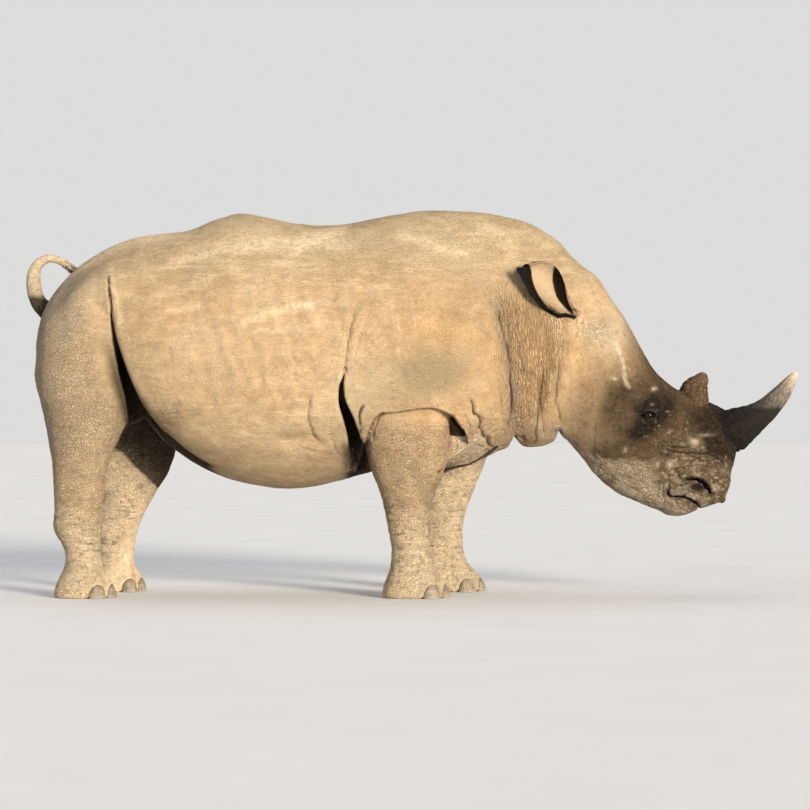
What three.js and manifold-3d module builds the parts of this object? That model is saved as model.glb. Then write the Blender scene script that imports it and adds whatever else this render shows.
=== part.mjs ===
// White rhinoceros, adult, standing on four feet with the head lowered and the tail curled.
// Millimetres, +X forward along the body, +Y to its left, +Z up.
// Origin: on the ground, between the feet, on the plane of symmetry.
//
// The flesh is one implicit solid: a barrel, shoulders, hips, four limbs and a head, each a loft
// with named profiles, joined with rounded unions. It is meshed, thinned out, and then parted into
// nodes with cuts of GAP. The tail, ears, horns, eyes and nails are lofts of their own,
// let into pockets of the flesh.

import * as THREE from 'three';
import { edgeTable, triTable } from 'three/addons/objects/MarchingCubes.js';
import { mergeVertices } from 'three/addons/utils/BufferGeometryUtils.js';
import Module from 'manifold-3d';

const wasm = await Module();
wasm.setup();

// ------------------------------------------------------------------ driving dimensions

const GAP = 0.3;              // clearance between neighbouring pieces
const CELL = 27;              // cell of the sampling grid
const FLESH_TRIANGLES = 3700; // triangles kept on the flesh before it is cut

const SHOULDER_TOP = 1784;    // height over the withers
const CROUP_TOP = 1768;       // height over the croup
const BELLY_LOW = 490;        // lowest point of the belly above the ground
const BARREL_HALF = 562;      // half the greatest width of the barrel
const MUZZLE_HALF = 146;      // half width of the muzzle
const CHEEK_HALF = 224;       // half width across the cheek bones

const EYE = { x: 1086, y: 182, z: 831, r: 28 };

const NAIL = { depth: 30, width: 50, height: 44, lift: 44, spread: 0.95 };

// Back line: [x, z]
const TOP = curve([[-1780, 1300], [-1600, 1475], [-1490, 1555], [-1395, 1612], [-1290, 1650], [-1167, 1668],
  [-1046, 1688], [-860, 1757], [-790, CROUP_TOP], [-700, 1757], [-500, 1718], [-288, 1720], [-79, 1765],
  [70, SHOULDER_TOP], [270, 1758], [450, 1732], [530, 1722], [610, 1685], [690, 1630], [760, 1540], [920, 1270]]);
// Belly, brisket and throat line: [x, z]
const BELLY = curve([[-1800, 950], [-1500, 860], [-1350, 800], [-1220, 735], [-1100, 655], [-990, 590], [-920, 560], [-800, 520],
  [-700, 500], [-560, BELLY_LOW], [-420, 508], [-300, 540], [-100, 585], [100, 585], [250, 600], [360, 655],
  [440, 680], [480, 688], [560, 684], [620, 693], [680, 730], [740, 780], [850, 920], [920, 1020]]);
// Half width of the barrel and neck, and the height of its widest line: [x, half width], [x, z]
const WIDE = curve([[-1800, 250], [-1600, 370], [-1400, 450], [-1200, 503], [-1000, 540], [-750, BARREL_HALF],
  [-500, BARREL_HALF], [-300, 542], [-100, 505], [100, 460], [450, 360], [750, 255], [850, 190], [920, 120]]);
const WIDE_Z = curve([[-1800, 1150], [-1400, 1140], [-1000, 1080], [-500, 1030], [-100, 1070], [200, 1140],
  [500, 1200], [750, 1200], [920, 1150]]);
// Where the sides of the barrel end ahead of the thighs, and where the rump ends: [z, x]
const FLANK = curve([[400, -600], [550, -860], [640, -1000], [730, -1110], [800, -1185], [900, -1250],
  [1000, -1300], [1100, -1335], [1200, -1365], [1300, -1400], [1400, -1500], [1500, -1750], [1650, -2000]]);
const RUMP = curve([[450, -750], [520, -900], [600, -1030], [665, -1120], [780, -1205], [893, -1275],
  [1030, -1325], [1180, -1378], [1320, -1410], [1450, -1440], [1600, -1620], [1900, -1900]]);
// Lower edge of the shoulder's fold of skin over the foreleg: [x, z]
const SEAT = curve([[850, -2000], [960, -1830], [1030, -1765], [1090, -1745], [1180, -1738], [1300, -1712], [1370, -1682],
  [1430, -1645], [1500, -1590], [1700, -1420], [1900, -1300]]);
const SKIRT = curve([[-500, 200], [-320, 350], [-240, 620], [-185, 790], [-145, 838], [-100, 843], [155, 843],
  [185, 825], [215, 782], [245, 735], [262, 660], [285, 400], [330, 100], [450, 0]]);

// Limbs: [z, front x, rear x, middle |y|, half width, roundness of the section]
const HIND_NEAR = limb(1460, [
  [1500, -1460, -1580, 200, 80, 2], [1420, -1400, -1640, 200, 150, 2], [1300, -1385, -1690, 210, 195, 2],
  [1150, -1370, -1730, 225, 215, 2.1], [1000, -1345, -1722, 240, 215, 2.2], [860, -1325, -1690, 250, 200, 2.2],
  [780, -1325, -1672, 255, 180, 2.2], [620, -1383, -1648, 260, 138, 2.2], [450, -1415, -1636, 263, 108, 2.2],
  [300, -1422, -1632, 266, 99, 2.2], [220, -1424, -1590, 268, 98, 2.2], [150, -1414, -1588, 270, 104, 2.3],
  [35, -1374, -1632, 270, 127, 2.4], [-50, -1370, -1636, 270, 129, 2.4]]);
const HIND_FAR = limb(1460, [
  [1500, -1460, -1580, 200, 80, 2], [1420, -1400, -1640, 200, 150, 2], [1300, -1370, -1680, 210, 195, 2],
  [1150, -1320, -1700, 225, 215, 2.1], [1000, -1250, -1675, 240, 215, 2.2], [860, -1170, -1630, 250, 205, 2.2],
  [750, -1120, -1590, 255, 190, 2.2], [660, -1120, -1555, 257, 172, 2.2], [560, -1155, -1520, 260, 145, 2.2],
  [460, -1215, -1500, 263, 116, 2.2], [300, -1290, -1492, 266, 100, 2.2], [150, -1312, -1490, 270, 104, 2.3],
  [35, -1280, -1518, 270, 127, 2.4], [-50, -1276, -1522, 270, 129, 2.4]]);
const FORE_NEAR = limb(960, [
  [980, 120, -170, 290, 120, 2.2], [900, 165, -205, 290, 160, 2.5], [800, 174, -225, 290, 170, 2.6],
  [700, 170, -214, 288, 160, 2.5], [620, 160, -198, 284, 144, 2.4], [450, 98, -140, 277, 114, 2.2],
  [300, 76, -108, 274, 100, 2.2], [160, 100, -96, 277, 110, 2.3], [35, 148, -134, 280, 138, 2.4],
  [-50, 152, -138, 280, 140, 2.4]]);
const FORE_FAR = limb(960, [
  [980, 240, -80, 290, 120, 2.2], [900, 320, -70, 290, 155, 2.4], [800, 365, -60, 290, 165, 2.5],
  [700, 372, -30, 288, 156, 2.4], [550, 325, 30, 280, 126, 2.2], [460, 290, 48, 277, 115, 2.2],
  [300, 242, 52, 274, 100, 2.2], [170, 250, 45, 277, 110, 2.3], [35, 325, 22, 280, 138, 2.4],
  [-50, 332, 20, 280, 140, 2.4]]);

// Head: sections on half planes that turn about HINGE, a line across the body under the throat.
// [angle, top radius, bottom radius, half width, radius of the widest line, roundness above and below]
const HINGE = { x: 410, z: -540 };
const HEAD = columns([
  [88, 2020, 1360, 200, 1780, 2, 2], [82, 2075, 1330, 224, 1760, 2, 2], [77.7, 2072, 1325, CHEEK_HALF, 1740, 2, 2],
  [74.9, 1980, 1275, CHEEK_HALF, 1700, 2.1, 2], [68.6, 1800, 1185, CHEEK_HALF, 1600, 2.3, 2],
  [66.1, 1742, 1165, 218, 1560, 2.4, 2], [62.9, 1708, 1150, 206, 1520, 2.4, 2], [60, 1700, 1148, 190, 1490, 2.4, 2.1],
  [57, 1712, 1158, 172, 1460, 2.2, 2.2], [54.5, 1738, 1168, 158, 1440, 2, 2.3], [51.5, 1735, 1186, 150, 1420, 2.1, 2.5],
  [49, 1682, 1200, 152, 1400, 2.3, 2.8], [47.9, 1625, 1219, 152, 1395, 2.5, 3], [46.5, 1558, 1258, MUZZLE_HALF, 1392, 2.8, 3],
  [45.6, 1528, 1309, 144, 1405, 2.8, 3], [44.6, 1497, 1351, 134, 1420, 2.8, 2.8], [43.6, 1440, 1400, 112, 1420, 2.4, 2.4]]);

// Lofted pieces: [x, y, z, half width across, half depth]; the first rows are let into the flesh.
const TAIL = [[-1620, 0, 1296, 44, 44], [-1675, 0, 1305, 44, 44], [-1727, 0, 1345, 37, 37], [-1753, 0, 1400, 36, 36],
  [-1760, 0, 1450, 34, 34], [-1757, 0, 1495, 29, 29], [-1735, 0, 1538, 23, 23], [-1692, 0, 1559, 18, 18],
  [-1643, 5, 1553, 16, 16], [-1603, 15, 1527, 14, 14], [-1578, 30, 1508, 11, 11]];
const HORN_FRONT = [[1440, 0, 718, 88, 108], [1474, 0, 748, 96, 117], [1516, 0, 775, 94, 113], [1560, 0, 799, 80, 91], [1604, 0, 826, 65, 73],
  [1655, 0, 865, 54, 60], [1716, 0, 930, 42, 46], [1753, 0, 981, 29, 32], [1778, 0, 1016, 17, 18], [1787, 0, 1030, 7, 7]];
const HORN_REAR = [[1292, 0, 850, 78, 98], [1303, 0, 903, 76, 97], [1314, 0, 941, 66, 85], [1329, 0, 972, 52, 68],
  [1344, 0, 997, 36, 45], [1352, 0, 1018, 24, 28], [1355, 0, 1032, 10, 11]];
// Ear on the left side; the cup opens outward and a little forward.
const EAR = [[805, 60, 1205, 24, 22], [770, 120, 1243, 28, 26], [745, 190, 1276, 34, 32], [700, 268, 1316, 46, 38],
  [664, 304, 1358, 67, 45], [628, 334, 1400, 87, 48], [587, 364, 1450, 90, 44], [535, 394, 1482, 52, 28], [499, 408, 1506, 15, 10]];
const EAR_WALL = 12;          // thickness of the cup's back wall
const EAR_OPEN = new THREE.Vector3(0.32, 0.93, 0.2).normalize();

// ------------------------------------------------------------------ profiles and solids as functions

// A smooth function through rows of [position, value], level past its ends.
function curve(rows) {
  const r = [...rows].sort((a, b) => a[0] - b[0]);
  const n = r.length, x = r.map((v) => v[0]), y = r.map((v) => v[1]);
  const slope = (i) => (y[i + 1] - y[i]) / (x[i + 1] - x[i]);
  const m = x.map((_, i) => {
    if (i === 0) return slope(0);
    if (i === n - 1) return slope(n - 2);
    const h0 = x[i] - x[i - 1], h1 = x[i + 1] - x[i];
    return (slope(i - 1) * h1 + slope(i) * h0) / (h0 + h1);
  });
  return (q) => {
    if (q <= x[0]) return y[0];
    if (q >= x[n - 1]) return y[n - 1];
    let i = 0;
    while (q > x[i + 1]) i++;
    const h = x[i + 1] - x[i], t = (q - x[i]) / h, t2 = t * t, t3 = t2 * t;
    return (2 * t3 - 3 * t2 + 1) * y[i] + (t3 - 2 * t2 + t) * h * m[i] + (3 * t2 - 2 * t3) * y[i + 1] + (t3 - t2) * h * m[i + 1];
  };
}
// One curve for each column after the first.
function columns(rows) { return rows[0].slice(1).map((_, i) => curve(rows.map((r) => [r[0], r[i + 1]]))); }
function limb(top, rows) { return { top, profile: columns(rows) }; }

function smin(a, b, k) { const h = Math.min(Math.max(0.5 + 0.5 * (b - a) / k, 0), 1); return b + (a - b) * h - k * h * (1 - h); }
function smax(a, b, k) { return -smin(-a, -b, k); }
function ease(e0, e1, v) { const t = Math.min(Math.max((v - e0) / (e1 - e0), 0), 1); return t * t * (3 - 2 * t); }

// How far (a, b) lies outside a superellipse with half sizes wa and wb.
function section(a, b, wa, wb, n) {
  const r = Math.max(Math.pow(Math.pow(Math.abs(a) / wa, n) + Math.pow(Math.abs(b) / wb, n), 1 / n), 1e-4);
  return r < 0.05 ? -Math.min(wa, wb) : (1 - 1 / r) * Math.hypot(a, b);
}
function ellipsoid(x, y, z, c, r, pitch = 0) {
  let px = x - c[0], pz = z - c[2];
  const py = y - c[1], cs = Math.cos(pitch), sn = Math.sin(pitch);
  [px, pz] = [px * cs + pz * sn, -px * sn + pz * cs];
  const k0 = Math.hypot(px / r[0], py / r[1], pz / r[2]);
  const k1 = Math.hypot(px / r[0] ** 2, py / r[1] ** 2, pz / r[2] ** 2);
  return k0 * (k0 - 1) / Math.max(k1, 1e-7);
}

function torso(x, y, z) {
  const top = TOP(x), bottom = BELLY(x), zc = WIDE_Z(x), up = z > zc;
  let f = section(y, z - zc, WIDE(x), up ? top - zc : zc - bottom, up ? 2.05 : 2.25);
  f = smax(f, (FLANK(z) - x) * 0.9 - 900 * (1 - ease(80, 260, Math.abs(y))), 100);
  f = smax(f, (RUMP(z) - x) * 0.85, 70);
  return smax(f, (x - 915) * 0.9, 80);
}
function limbAt(x, y, z, { top, profile: [front, rear, side, half, n] }) {
  const a = front(z), b = rear(z);
  return smax(section(x - (a + b) / 2, y - side(z), (a - b) / 2, half(z), n(z)), z - top, 60);
}
function head(x, y, z) {
  const dx = x - HINGE.x, dz = z - HINGE.z, r = Math.hypot(dx, dz), a = Math.atan2(dz, dx);
  const [top, bottom, half, wide, above, below] = HEAD.map((c) => c(a * 180 / Math.PI));
  const up = r > wide;
  let f = section(y, r - wide, half, up ? top - wide : wide - bottom, up ? above : below);
  f = smax(f, (43.2 * Math.PI / 180 - a) * r, 30);
  return smax(f, (a - 86 * Math.PI / 180) * r, 50);
}
function flesh(x, y, z) {
  const ay = Math.abs(y);
  let f = torso(x, y, z);
  f = smin(f, ellipsoid(x, ay, z, [30, 265, 1060], [345, 235, 460], 0.06), 100);   // shoulder
  const flap = 170 + 140 * ease(775, 735, z) * ease(100, 160, x);                   // breast beside the foreleg
  f = smax(f, smin(SKIRT(x) - z, ay - flap, 50), 25);                               // fold over the foreleg
  f = smin(f, ellipsoid(x, ay, z, [300, 100, 1400], [360, 220, 340], -0.15), 120);  // nuchal hump
  f = smin(f, ellipsoid(x, y, z, [200, 0, 800], [220, 250, 160]), 80);              // brisket
  f = smin(f, head(x, y, z), 100);
  let hips = smin(ellipsoid(x, ay, z, [-1360, 120, 1200], [360, 290, 440], -0.35),
    ellipsoid(x, ay, z, [-1570, 150, 1200], [170, 220, 270]), 100);
  hips = smin(hips, smin(limbAt(x, -y, z, HIND_NEAR), limbAt(x, y, z, HIND_FAR), 40), 90);
  f = smin(f, hips, 35 + 170 * ease(1250, 1500, z));
  if (x < -850) {                                                                   // croup and seat keep the side view's line
    f = smax(f, (z - TOP(x) - 4 + 0.0009 * y * y) * 0.9, 25);
    f = smax(f, SEAT(z) - x + 0.0003 * y * y, 25);
  }
  f = smin(f, smin(limbAt(x, -y, z, FORE_NEAR), limbAt(x, y, z, FORE_FAR), 30), 35);
  return smax(f, -z - 60, 10);
}

// ------------------------------------------------------------------ mesh of the flesh

// Triangles of the surface where f changes sign, on a grid of cubes from lo to hi.
function surface(f, lo, hi, cell) {
  const n = lo.map((v, i) => Math.ceil((hi[i] - v) / cell) + 1);
  const at = (i, j, k) => (i * n[1] + j) * n[2] + k;
  const value = new Float64Array(n[0] * n[1] * n[2]);
  for (let i = 0; i < n[0]; i++) for (let j = 0; j < n[1]; j++) for (let k = 0; k < n[2]; k++) {
    const v = f(lo[0] + i * cell, lo[1] + j * cell, lo[2] + k * cell);
    value[at(i, j, k)] = Math.abs(v) < 0.02 * cell ? (v < 0 ? -0.02 : 0.02) * cell : v;
  }
  const corner = [[0, 0, 0], [1, 0, 0], [1, 1, 0], [0, 1, 0], [0, 0, 1], [1, 0, 1], [1, 1, 1], [0, 1, 1]];
  const edge = [[0, 1], [1, 2], [3, 2], [0, 3], [4, 5], [5, 6], [7, 6], [4, 7], [0, 4], [1, 5], [2, 6], [3, 7]];
  const points = [], tris = [], seen = new Map();
  for (let i = 0; i < n[0] - 1; i++) for (let j = 0; j < n[1] - 1; j++) for (let k = 0; k < n[2] - 1; k++) {
    const id = corner.map(([a, b, c]) => at(i + a, j + b, k + c));
    let index = 0;
    id.forEach((v, c) => { if (value[v] < 0) index |= 1 << c; });
    if (!edgeTable[index]) continue;
    const vertex = (e) => {
      const [a, b] = edge[e], key = id[a] * 4 + [1, 2, 1, 2, 1, 2, 1, 2, 3, 3, 3, 3][e];
      if (!seen.has(key)) {
        const t = value[id[a]] / (value[id[a]] - value[id[b]]);
        seen.set(key, points.length);
        points.push([0, 1, 2].map((d) => lo[d] + cell * ([i, j, k][d] + corner[a][d] + t * (corner[b][d] - corner[a][d]))));
      }
      return seen.get(key);
    };
    for (let o = index * 16; triTable[o] !== -1; o += 3) {
      tris.push([vertex(triTable[o]), vertex(triTable[o + 1]), vertex(triTable[o + 2])]);
    }
  }
  return outward({ points, tris });
}
function volume({ points, tris }) {
  let v = 0;
  for (const [a, b, c] of tris) {
    const [p, q, r] = [points[a], points[b], points[c]];
    v += p[0] * (q[1] * r[2] - q[2] * r[1]) + p[1] * (q[2] * r[0] - q[0] * r[2]) + p[2] * (q[0] * r[1] - q[1] * r[0]);
  }
  return v / 6;
}
function outward(mesh) {
  if (volume(mesh) < 0) mesh.tris.forEach((t) => t.reverse());
  return mesh;
}

// Thins a closed mesh by collapsing the edges that change its shape least.
function thin({ points, tris }, target) {
  const sub = (a, b) => [a[0] - b[0], a[1] - b[1], a[2] - b[2]];
  const cross = (a, b) => [a[1] * b[2] - a[2] * b[1], a[2] * b[0] - a[0] * b[2], a[0] * b[1] - a[1] * b[0]];
  const dot = (a, b) => a[0] * b[0] + a[1] * b[1] + a[2] * b[2];
  const P = points.map((p) => [...p]), T = tris.map((t) => [...t]), alive = T.map(() => true);
  const faces = P.map(() => new Set()), Q = P.map(() => new Float64Array(10)), stamp = new Int32Array(P.length);
  T.forEach((t, i) => {
    t.forEach((v) => faces[v].add(i));
    const n = cross(sub(P[t[1]], P[t[0]]), sub(P[t[2]], P[t[0]])), l = Math.hypot(...n) || 1e-9;
    const [a, b, c] = n.map((v) => v / l), d = -dot([a, b, c], P[t[0]]), w = l / 2;
    const q = [a * a, a * b, a * c, a * d, b * b, b * c, b * d, c * c, c * d, d * d];
    t.forEach((v) => q.forEach((e, k) => { Q[v][k] += e * w; }));
  });
  const error = (q, [x, y, z]) => q[0] * x * x + 2 * q[1] * x * y + 2 * q[2] * x * z + 2 * q[3] * x + q[4] * y * y
    + 2 * q[5] * y * z + 2 * q[6] * y + q[7] * z * z + 2 * q[8] * z + q[9];
  const best = (u, v) => {
    const q = Q[u].map((e, k) => e + Q[v][k]), mid = P[u].map((e, k) => (e + P[v][k]) / 2);
    const edge = Math.hypot(...sub(P[u], P[v]));
    const choices = [mid, P[u], P[v]];
    const det = q[0] * (q[4] * q[7] - q[5] * q[5]) - q[1] * (q[1] * q[7] - q[5] * q[2]) + q[2] * (q[1] * q[5] - q[4] * q[2]);
    if (Math.abs(det) > 1e-6 * Math.pow(q[0] + q[4] + q[7], 3)) {
      const r = [-q[3], -q[6], -q[8]];
      const s = [
        (r[0] * (q[4] * q[7] - q[5] * q[5]) - q[1] * (r[1] * q[7] - q[5] * r[2]) + q[2] * (r[1] * q[5] - q[4] * r[2])) / det,
        (q[0] * (r[1] * q[7] - r[2] * q[5]) - r[0] * (q[1] * q[7] - q[5] * q[2]) + q[2] * (q[1] * r[2] - r[1] * q[2])) / det,
        (q[0] * (q[4] * r[2] - q[5] * r[1]) - q[1] * (q[1] * r[2] - q[2] * r[1]) + r[0] * (q[1] * q[5] - q[4] * q[2])) / det];
      if (Math.hypot(...sub(s, mid)) < edge) choices.push(s);
    }
    let pick = null, low = Infinity;
    for (const p of choices) { const e = error(q, p); if (e < low) { low = e; pick = p; } }
    return { u, v, p: pick, cost: Math.max(low, 0) + 0.02 * edge * edge, su: stamp[u], sv: stamp[v] };
  };
  const heap = [];
  const push = (e) => {
    heap.push(e);
    let i = heap.length - 1;
    while (i > 0) { const j = (i - 1) >> 1; if (heap[j].cost <= heap[i].cost) break; [heap[i], heap[j]] = [heap[j], heap[i]]; i = j; }
  };
  const pop = () => {
    const first = heap[0], last = heap.pop();
    if (heap.length) {
      heap[0] = last;
      for (let i = 0; ;) {
        let j = 2 * i + 1;
        if (j >= heap.length) break;
        if (j + 1 < heap.length && heap[j + 1].cost < heap[j].cost) j++;
        if (heap[i].cost <= heap[j].cost) break;
        [heap[i], heap[j]] = [heap[j], heap[i]]; i = j;
      }
    }
    return first;
  };
  const around = (v) => { const s = new Set(); faces[v].forEach((f) => T[f].forEach((w) => { if (w !== v) s.add(w); })); return s; };
  P.forEach((_, v) => around(v).forEach((w) => { if (v < w) push(best(v, w)); }));
  let count = T.length;
  while (count > target && heap.length) {
    const { u, v, p, su, sv } = pop();
    if (!faces[u] || !faces[v] || stamp[u] !== su || stamp[v] !== sv) continue;
    const nu = around(u), nv = around(v);
    if (!nu.has(v) || [...nu].filter((w) => nv.has(w)).length !== 2) continue;
    const turns = [u, v].some((w) => [...faces[w]].some((f) => {
      const t = T[f];
      if (t.includes(u) && t.includes(v)) return false;
      const old = t.map((k) => P[k]), now = t.map((k) => (k === w ? p : P[k]));
      const a = cross(sub(old[1], old[0]), sub(old[2], old[0])), b = cross(sub(now[1], now[0]), sub(now[2], now[0]));
      const la = Math.hypot(...a), lb = Math.hypot(...b);
      const longest = Math.max(...[0, 1, 2].map((k) => Math.hypot(...sub(now[k], now[(k + 1) % 3]))));
      return dot(a, b) < 0.45 * la * lb || lb < 0.09 * longest * longest;
    }));
    if (turns) continue;
    [...faces[v]].forEach((f) => {
      const t = T[f];
      if (t.includes(u)) { alive[f] = false; count--; t.forEach((k) => faces[k].delete(f)); }
      else { t[t.indexOf(v)] = u; faces[u].add(f); }
    });
    faces[v] = null;
    P[u] = p;
    Q[v].forEach((e, k) => { Q[u][k] += e; });
    stamp[u]++;
    around(u).forEach((w) => push(best(u, w)));
  }
  const used = new Map(), out = { points: [], tris: [] };
  T.forEach((t, i) => {
    if (!alive[i]) return;
    out.tris.push(t.map((v) => { if (!used.has(v)) { used.set(v, out.points.length); out.points.push(P[v]); } return used.get(v); }));
  });
  return out;
}

// ------------------------------------------------------------------ lofts, blocks and booleans

// A closed loft of superellipse rings along a smooth path through rows of [x, y, z, across, deep].
// facing is the direction of the deep axis; grow moves the whole surface out.
function loft(rows, { facing = null, segments = 12, steps = 2, grow = 0, power = 2, shift = 0 } = {}) {
  const path = new THREE.CatmullRomCurve3(rows.map((r) => new THREE.Vector3(r[0], r[1], r[2])), false, 'centripetal');
  const size = (k, t) => { const i = Math.min(Math.floor(t), rows.length - 2), f = t - i; return rows[i][k] * (1 - f) + rows[i + 1][k] * f; };
  const points = [], tris = [], ends = [], rings = (rows.length - 1) * steps + 1;
  for (let i = 0; i < rings; i++) {
    const t = i / steps, u = t / (rows.length - 1);
    const c = path.getPoint(u), along = path.getTangent(u);
    const deep = (facing ?? new THREE.Vector3(0, 1, 0)).clone();
    deep.addScaledVector(along, -deep.dot(along)).normalize();
    const across = new THREE.Vector3().crossVectors(along, deep).normalize();
    if (i === 0) c.addScaledVector(along, -grow);
    if (i === rings - 1) c.addScaledVector(along, grow);
    const a = size(3, t) + grow, b = size(4, t) + grow;
    c.addScaledVector(deep, shift * b);
    for (let s = 0; s < segments; s++) {
      const w = (2 * Math.PI * s) / segments, cs = Math.cos(w), sn = Math.sin(w);
      const x = a * Math.sign(cs) * Math.abs(cs) ** (2 / power), y = b * Math.sign(sn) * Math.abs(sn) ** (2 / power);
      const p = c.clone().addScaledVector(across, x).addScaledVector(deep, y);
      points.push([p.x, p.y, p.z]);
    }
    if (i === 0 || i === rings - 1) ends.push(c.clone().addScaledVector(along, (i ? 0.45 : 0) * Math.min(a, b)));
  }
  for (let i = 0; i < rings - 1; i++) for (let s = 0; s < segments; s++) {
    const a = i * segments + s, b = i * segments + (s + 1) % segments, c = a + segments, d = b + segments;
    tris.push([a, b, d], [a, d, c]);
  }
  for (const [end, base] of [[0, 0], [1, (rings - 1) * segments]]) {
    const pole = points.length, c = ends[end];
    points.push([c.x, c.y, c.z]);
    for (let s = 0; s < segments; s++) {
      const a = base + s, b = base + (s + 1) % segments;
      tris.push(end ? [a, b, pole] : [b, a, pole]);
    }
  }
  return outward({ points, tris });
}
function ball(c, r, { turn = 0, rows = 6, columns = 10, grow = 0 } = {}) {
  const g = new THREE.SphereGeometry(1, columns, rows);
  g.rotateX(Math.PI / 2).scale(r[0] + grow, r[1] + grow, r[2] + grow).rotateZ(turn).translate(...c);
  return fromGeometry(g);
}
// A block from lo to hi, turned about the Y axis at its middle.
function block(lo, hi, turn = 0) {
  const g = new THREE.BoxGeometry(hi[0] - lo[0], hi[1] - lo[1], hi[2] - lo[2]);
  g.rotateY(turn).translate((lo[0] + hi[0]) / 2, (lo[1] + hi[1]) / 2, (lo[2] + hi[2]) / 2);
  return solid(fromGeometry(g));
}
function fromGeometry(g) {
  g.deleteAttribute('normal'); g.deleteAttribute('uv');
  const m = mergeVertices(g, 1e-4), p = m.attributes.position, index = m.index.array;
  const mesh = { points: [], tris: [] };
  for (let i = 0; i < p.count; i++) mesh.points.push([p.getX(i), p.getY(i), p.getZ(i)]);
  for (let i = 0; i < index.length; i += 3) {
    const t = [index[i], index[i + 1], index[i + 2]];
    if (t[0] !== t[1] && t[1] !== t[2] && t[2] !== t[0]) mesh.tris.push(t);
  }
  return outward(mesh);
}
function mirrored({ points, tris }) {
  return { points: points.map(([x, y, z]) => [x, -y, z]), tris: tris.map(([a, b, c]) => [c, b, a]) };
}
function solid({ points, tris }) {
  return new wasm.Manifold(new wasm.Mesh({
    numProp: 3, vertProperties: new Float32Array(points.flat()), triVerts: new Uint32Array(tris.flat()),
  }));
}

// ------------------------------------------------------------------ pieces

const group = new THREE.Group();
function add(name, body, color, roughness, metalness = 0) {
  const m = body.getMesh(), geometry = new THREE.BufferGeometry();
  const position = new Float32Array(m.numVert * 3);
  for (let i = 0; i < m.numVert; i++) for (let k = 0; k < 3; k++) position[3 * i + k] = m.vertProperties[m.numProp * i + k];
  geometry.setAttribute('position', new THREE.BufferAttribute(position, 3));
  geometry.setIndex(new THREE.BufferAttribute(new Uint32Array(m.triVerts), 1));
  const mesh = new THREE.Mesh(geometry, new THREE.MeshStandardMaterial({ color, roughness, metalness, flatShading: false }));
  mesh.name = name;
  group.add(mesh);
}
const HIDE = 0xb39a78, LEG_HIDE = 0xc2b294, FACE_HIDE = 0x8a7256, HORN_PALE = 0xa89c8a, HORN_RED = 0x7a5540, NAIL_GREY = 0x6b6257, EYE_DARK = 0x120c09;

let body = solid(thin(surface(flesh, [-1850, -702, -95], [1610, 702, 1870], CELL), FLESH_TRIANGLES));
body = body.subtract(block([-2500, -1500, -500], [2500, 1500, 0]));

// Pieces let into the flesh: each is a loft, and its pocket is the same loft grown by GAP.
const pieces = [];
function setIn(name, make, color, roughness) {
  pieces.push({ name, piece: solid(make(0)), color, roughness });
  body = body.subtract(solid(make(GAP)));
}
setIn('tail', (grow) => loft(TAIL, { segments: 10, steps: 1, grow }), HIDE, 0.9);
setIn('horn_front', (grow) => loft(HORN_FRONT, { segments: 14, steps: 1, grow }), HORN_PALE, 0.55);
setIn('horn_rear', (grow) => loft(HORN_REAR, { segments: 14, steps: 1, grow }), HORN_RED, 0.7);
for (const side of ['left', 'right']) {
  const flip = side === 'left' ? (m) => m : mirrored, s = side === 'left' ? 1 : -1;
  setIn(`eye_${side}`, (grow) => ball([EYE.x, s * EYE.y, EYE.z], [EYE.r, EYE.r, EYE.r], { grow }), EYE_DARK, 0.05);
  const outer = (grow) => flip(loft(EAR, { facing: EAR_OPEN, segments: 14, steps: 1, grow }));
  const hollow = EAR.slice(2).map(([x, y, z, a, b], i) => [x, y, z, Math.max(a - EAR_WALL, 5), b]);
  const cup = solid(flip(loft(hollow, { facing: EAR_OPEN, segments: 12, steps: 1, shift: EAR_WALL / 30 + 0.12 })));
  pieces.push({ name: `ear_${side}`, piece: solid(outer(0)).subtract(cup), color: HIDE, roughness: 0.9 });
  body = body.subtract(solid(outer(GAP)));
}

// Feet: three nails each, at the front and on both sides of the front of the sole.
const FEET = {
  leg_front_left: { limb: FORE_FAR, s: 1 }, leg_front_right: { limb: FORE_NEAR, s: -1 },
  leg_hind_left: { limb: HIND_FAR, s: 1 }, leg_hind_right: { limb: HIND_NEAR, s: -1 },
};
for (const [name, { limb: l, s }] of Object.entries(FEET)) {
  const [front, rear, side, half, n] = l.profile.map((c) => c(NAIL.lift));
  const cx = (front + rear) / 2, ax = (front - rear) / 2;
  [['inner', -s], ['middle', 0], ['outer', s]].forEach(([which, k]) => {
    const w = k * NAIL.spread, c = Math.cos(w), d = Math.sin(w);
    const reach = 1 / Math.pow(Math.pow(Math.abs(c) / ax, n) + Math.pow(Math.abs(d) / half, n), 1 / n) - 0.42 * NAIL.depth;
    const wide = which === 'middle' ? NAIL.width : NAIL.width * 0.85;
    setIn(`nail_${name.slice(4)}_${which}`, (grow) => ball([cx + reach * c, s * side + reach * d, NAIL.lift],
      [NAIL.depth, wide, NAIL.height - 4], { turn: w, rows: 5, columns: 8, grow }), NAIL_GREY, 0.5);
  });
}

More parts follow.
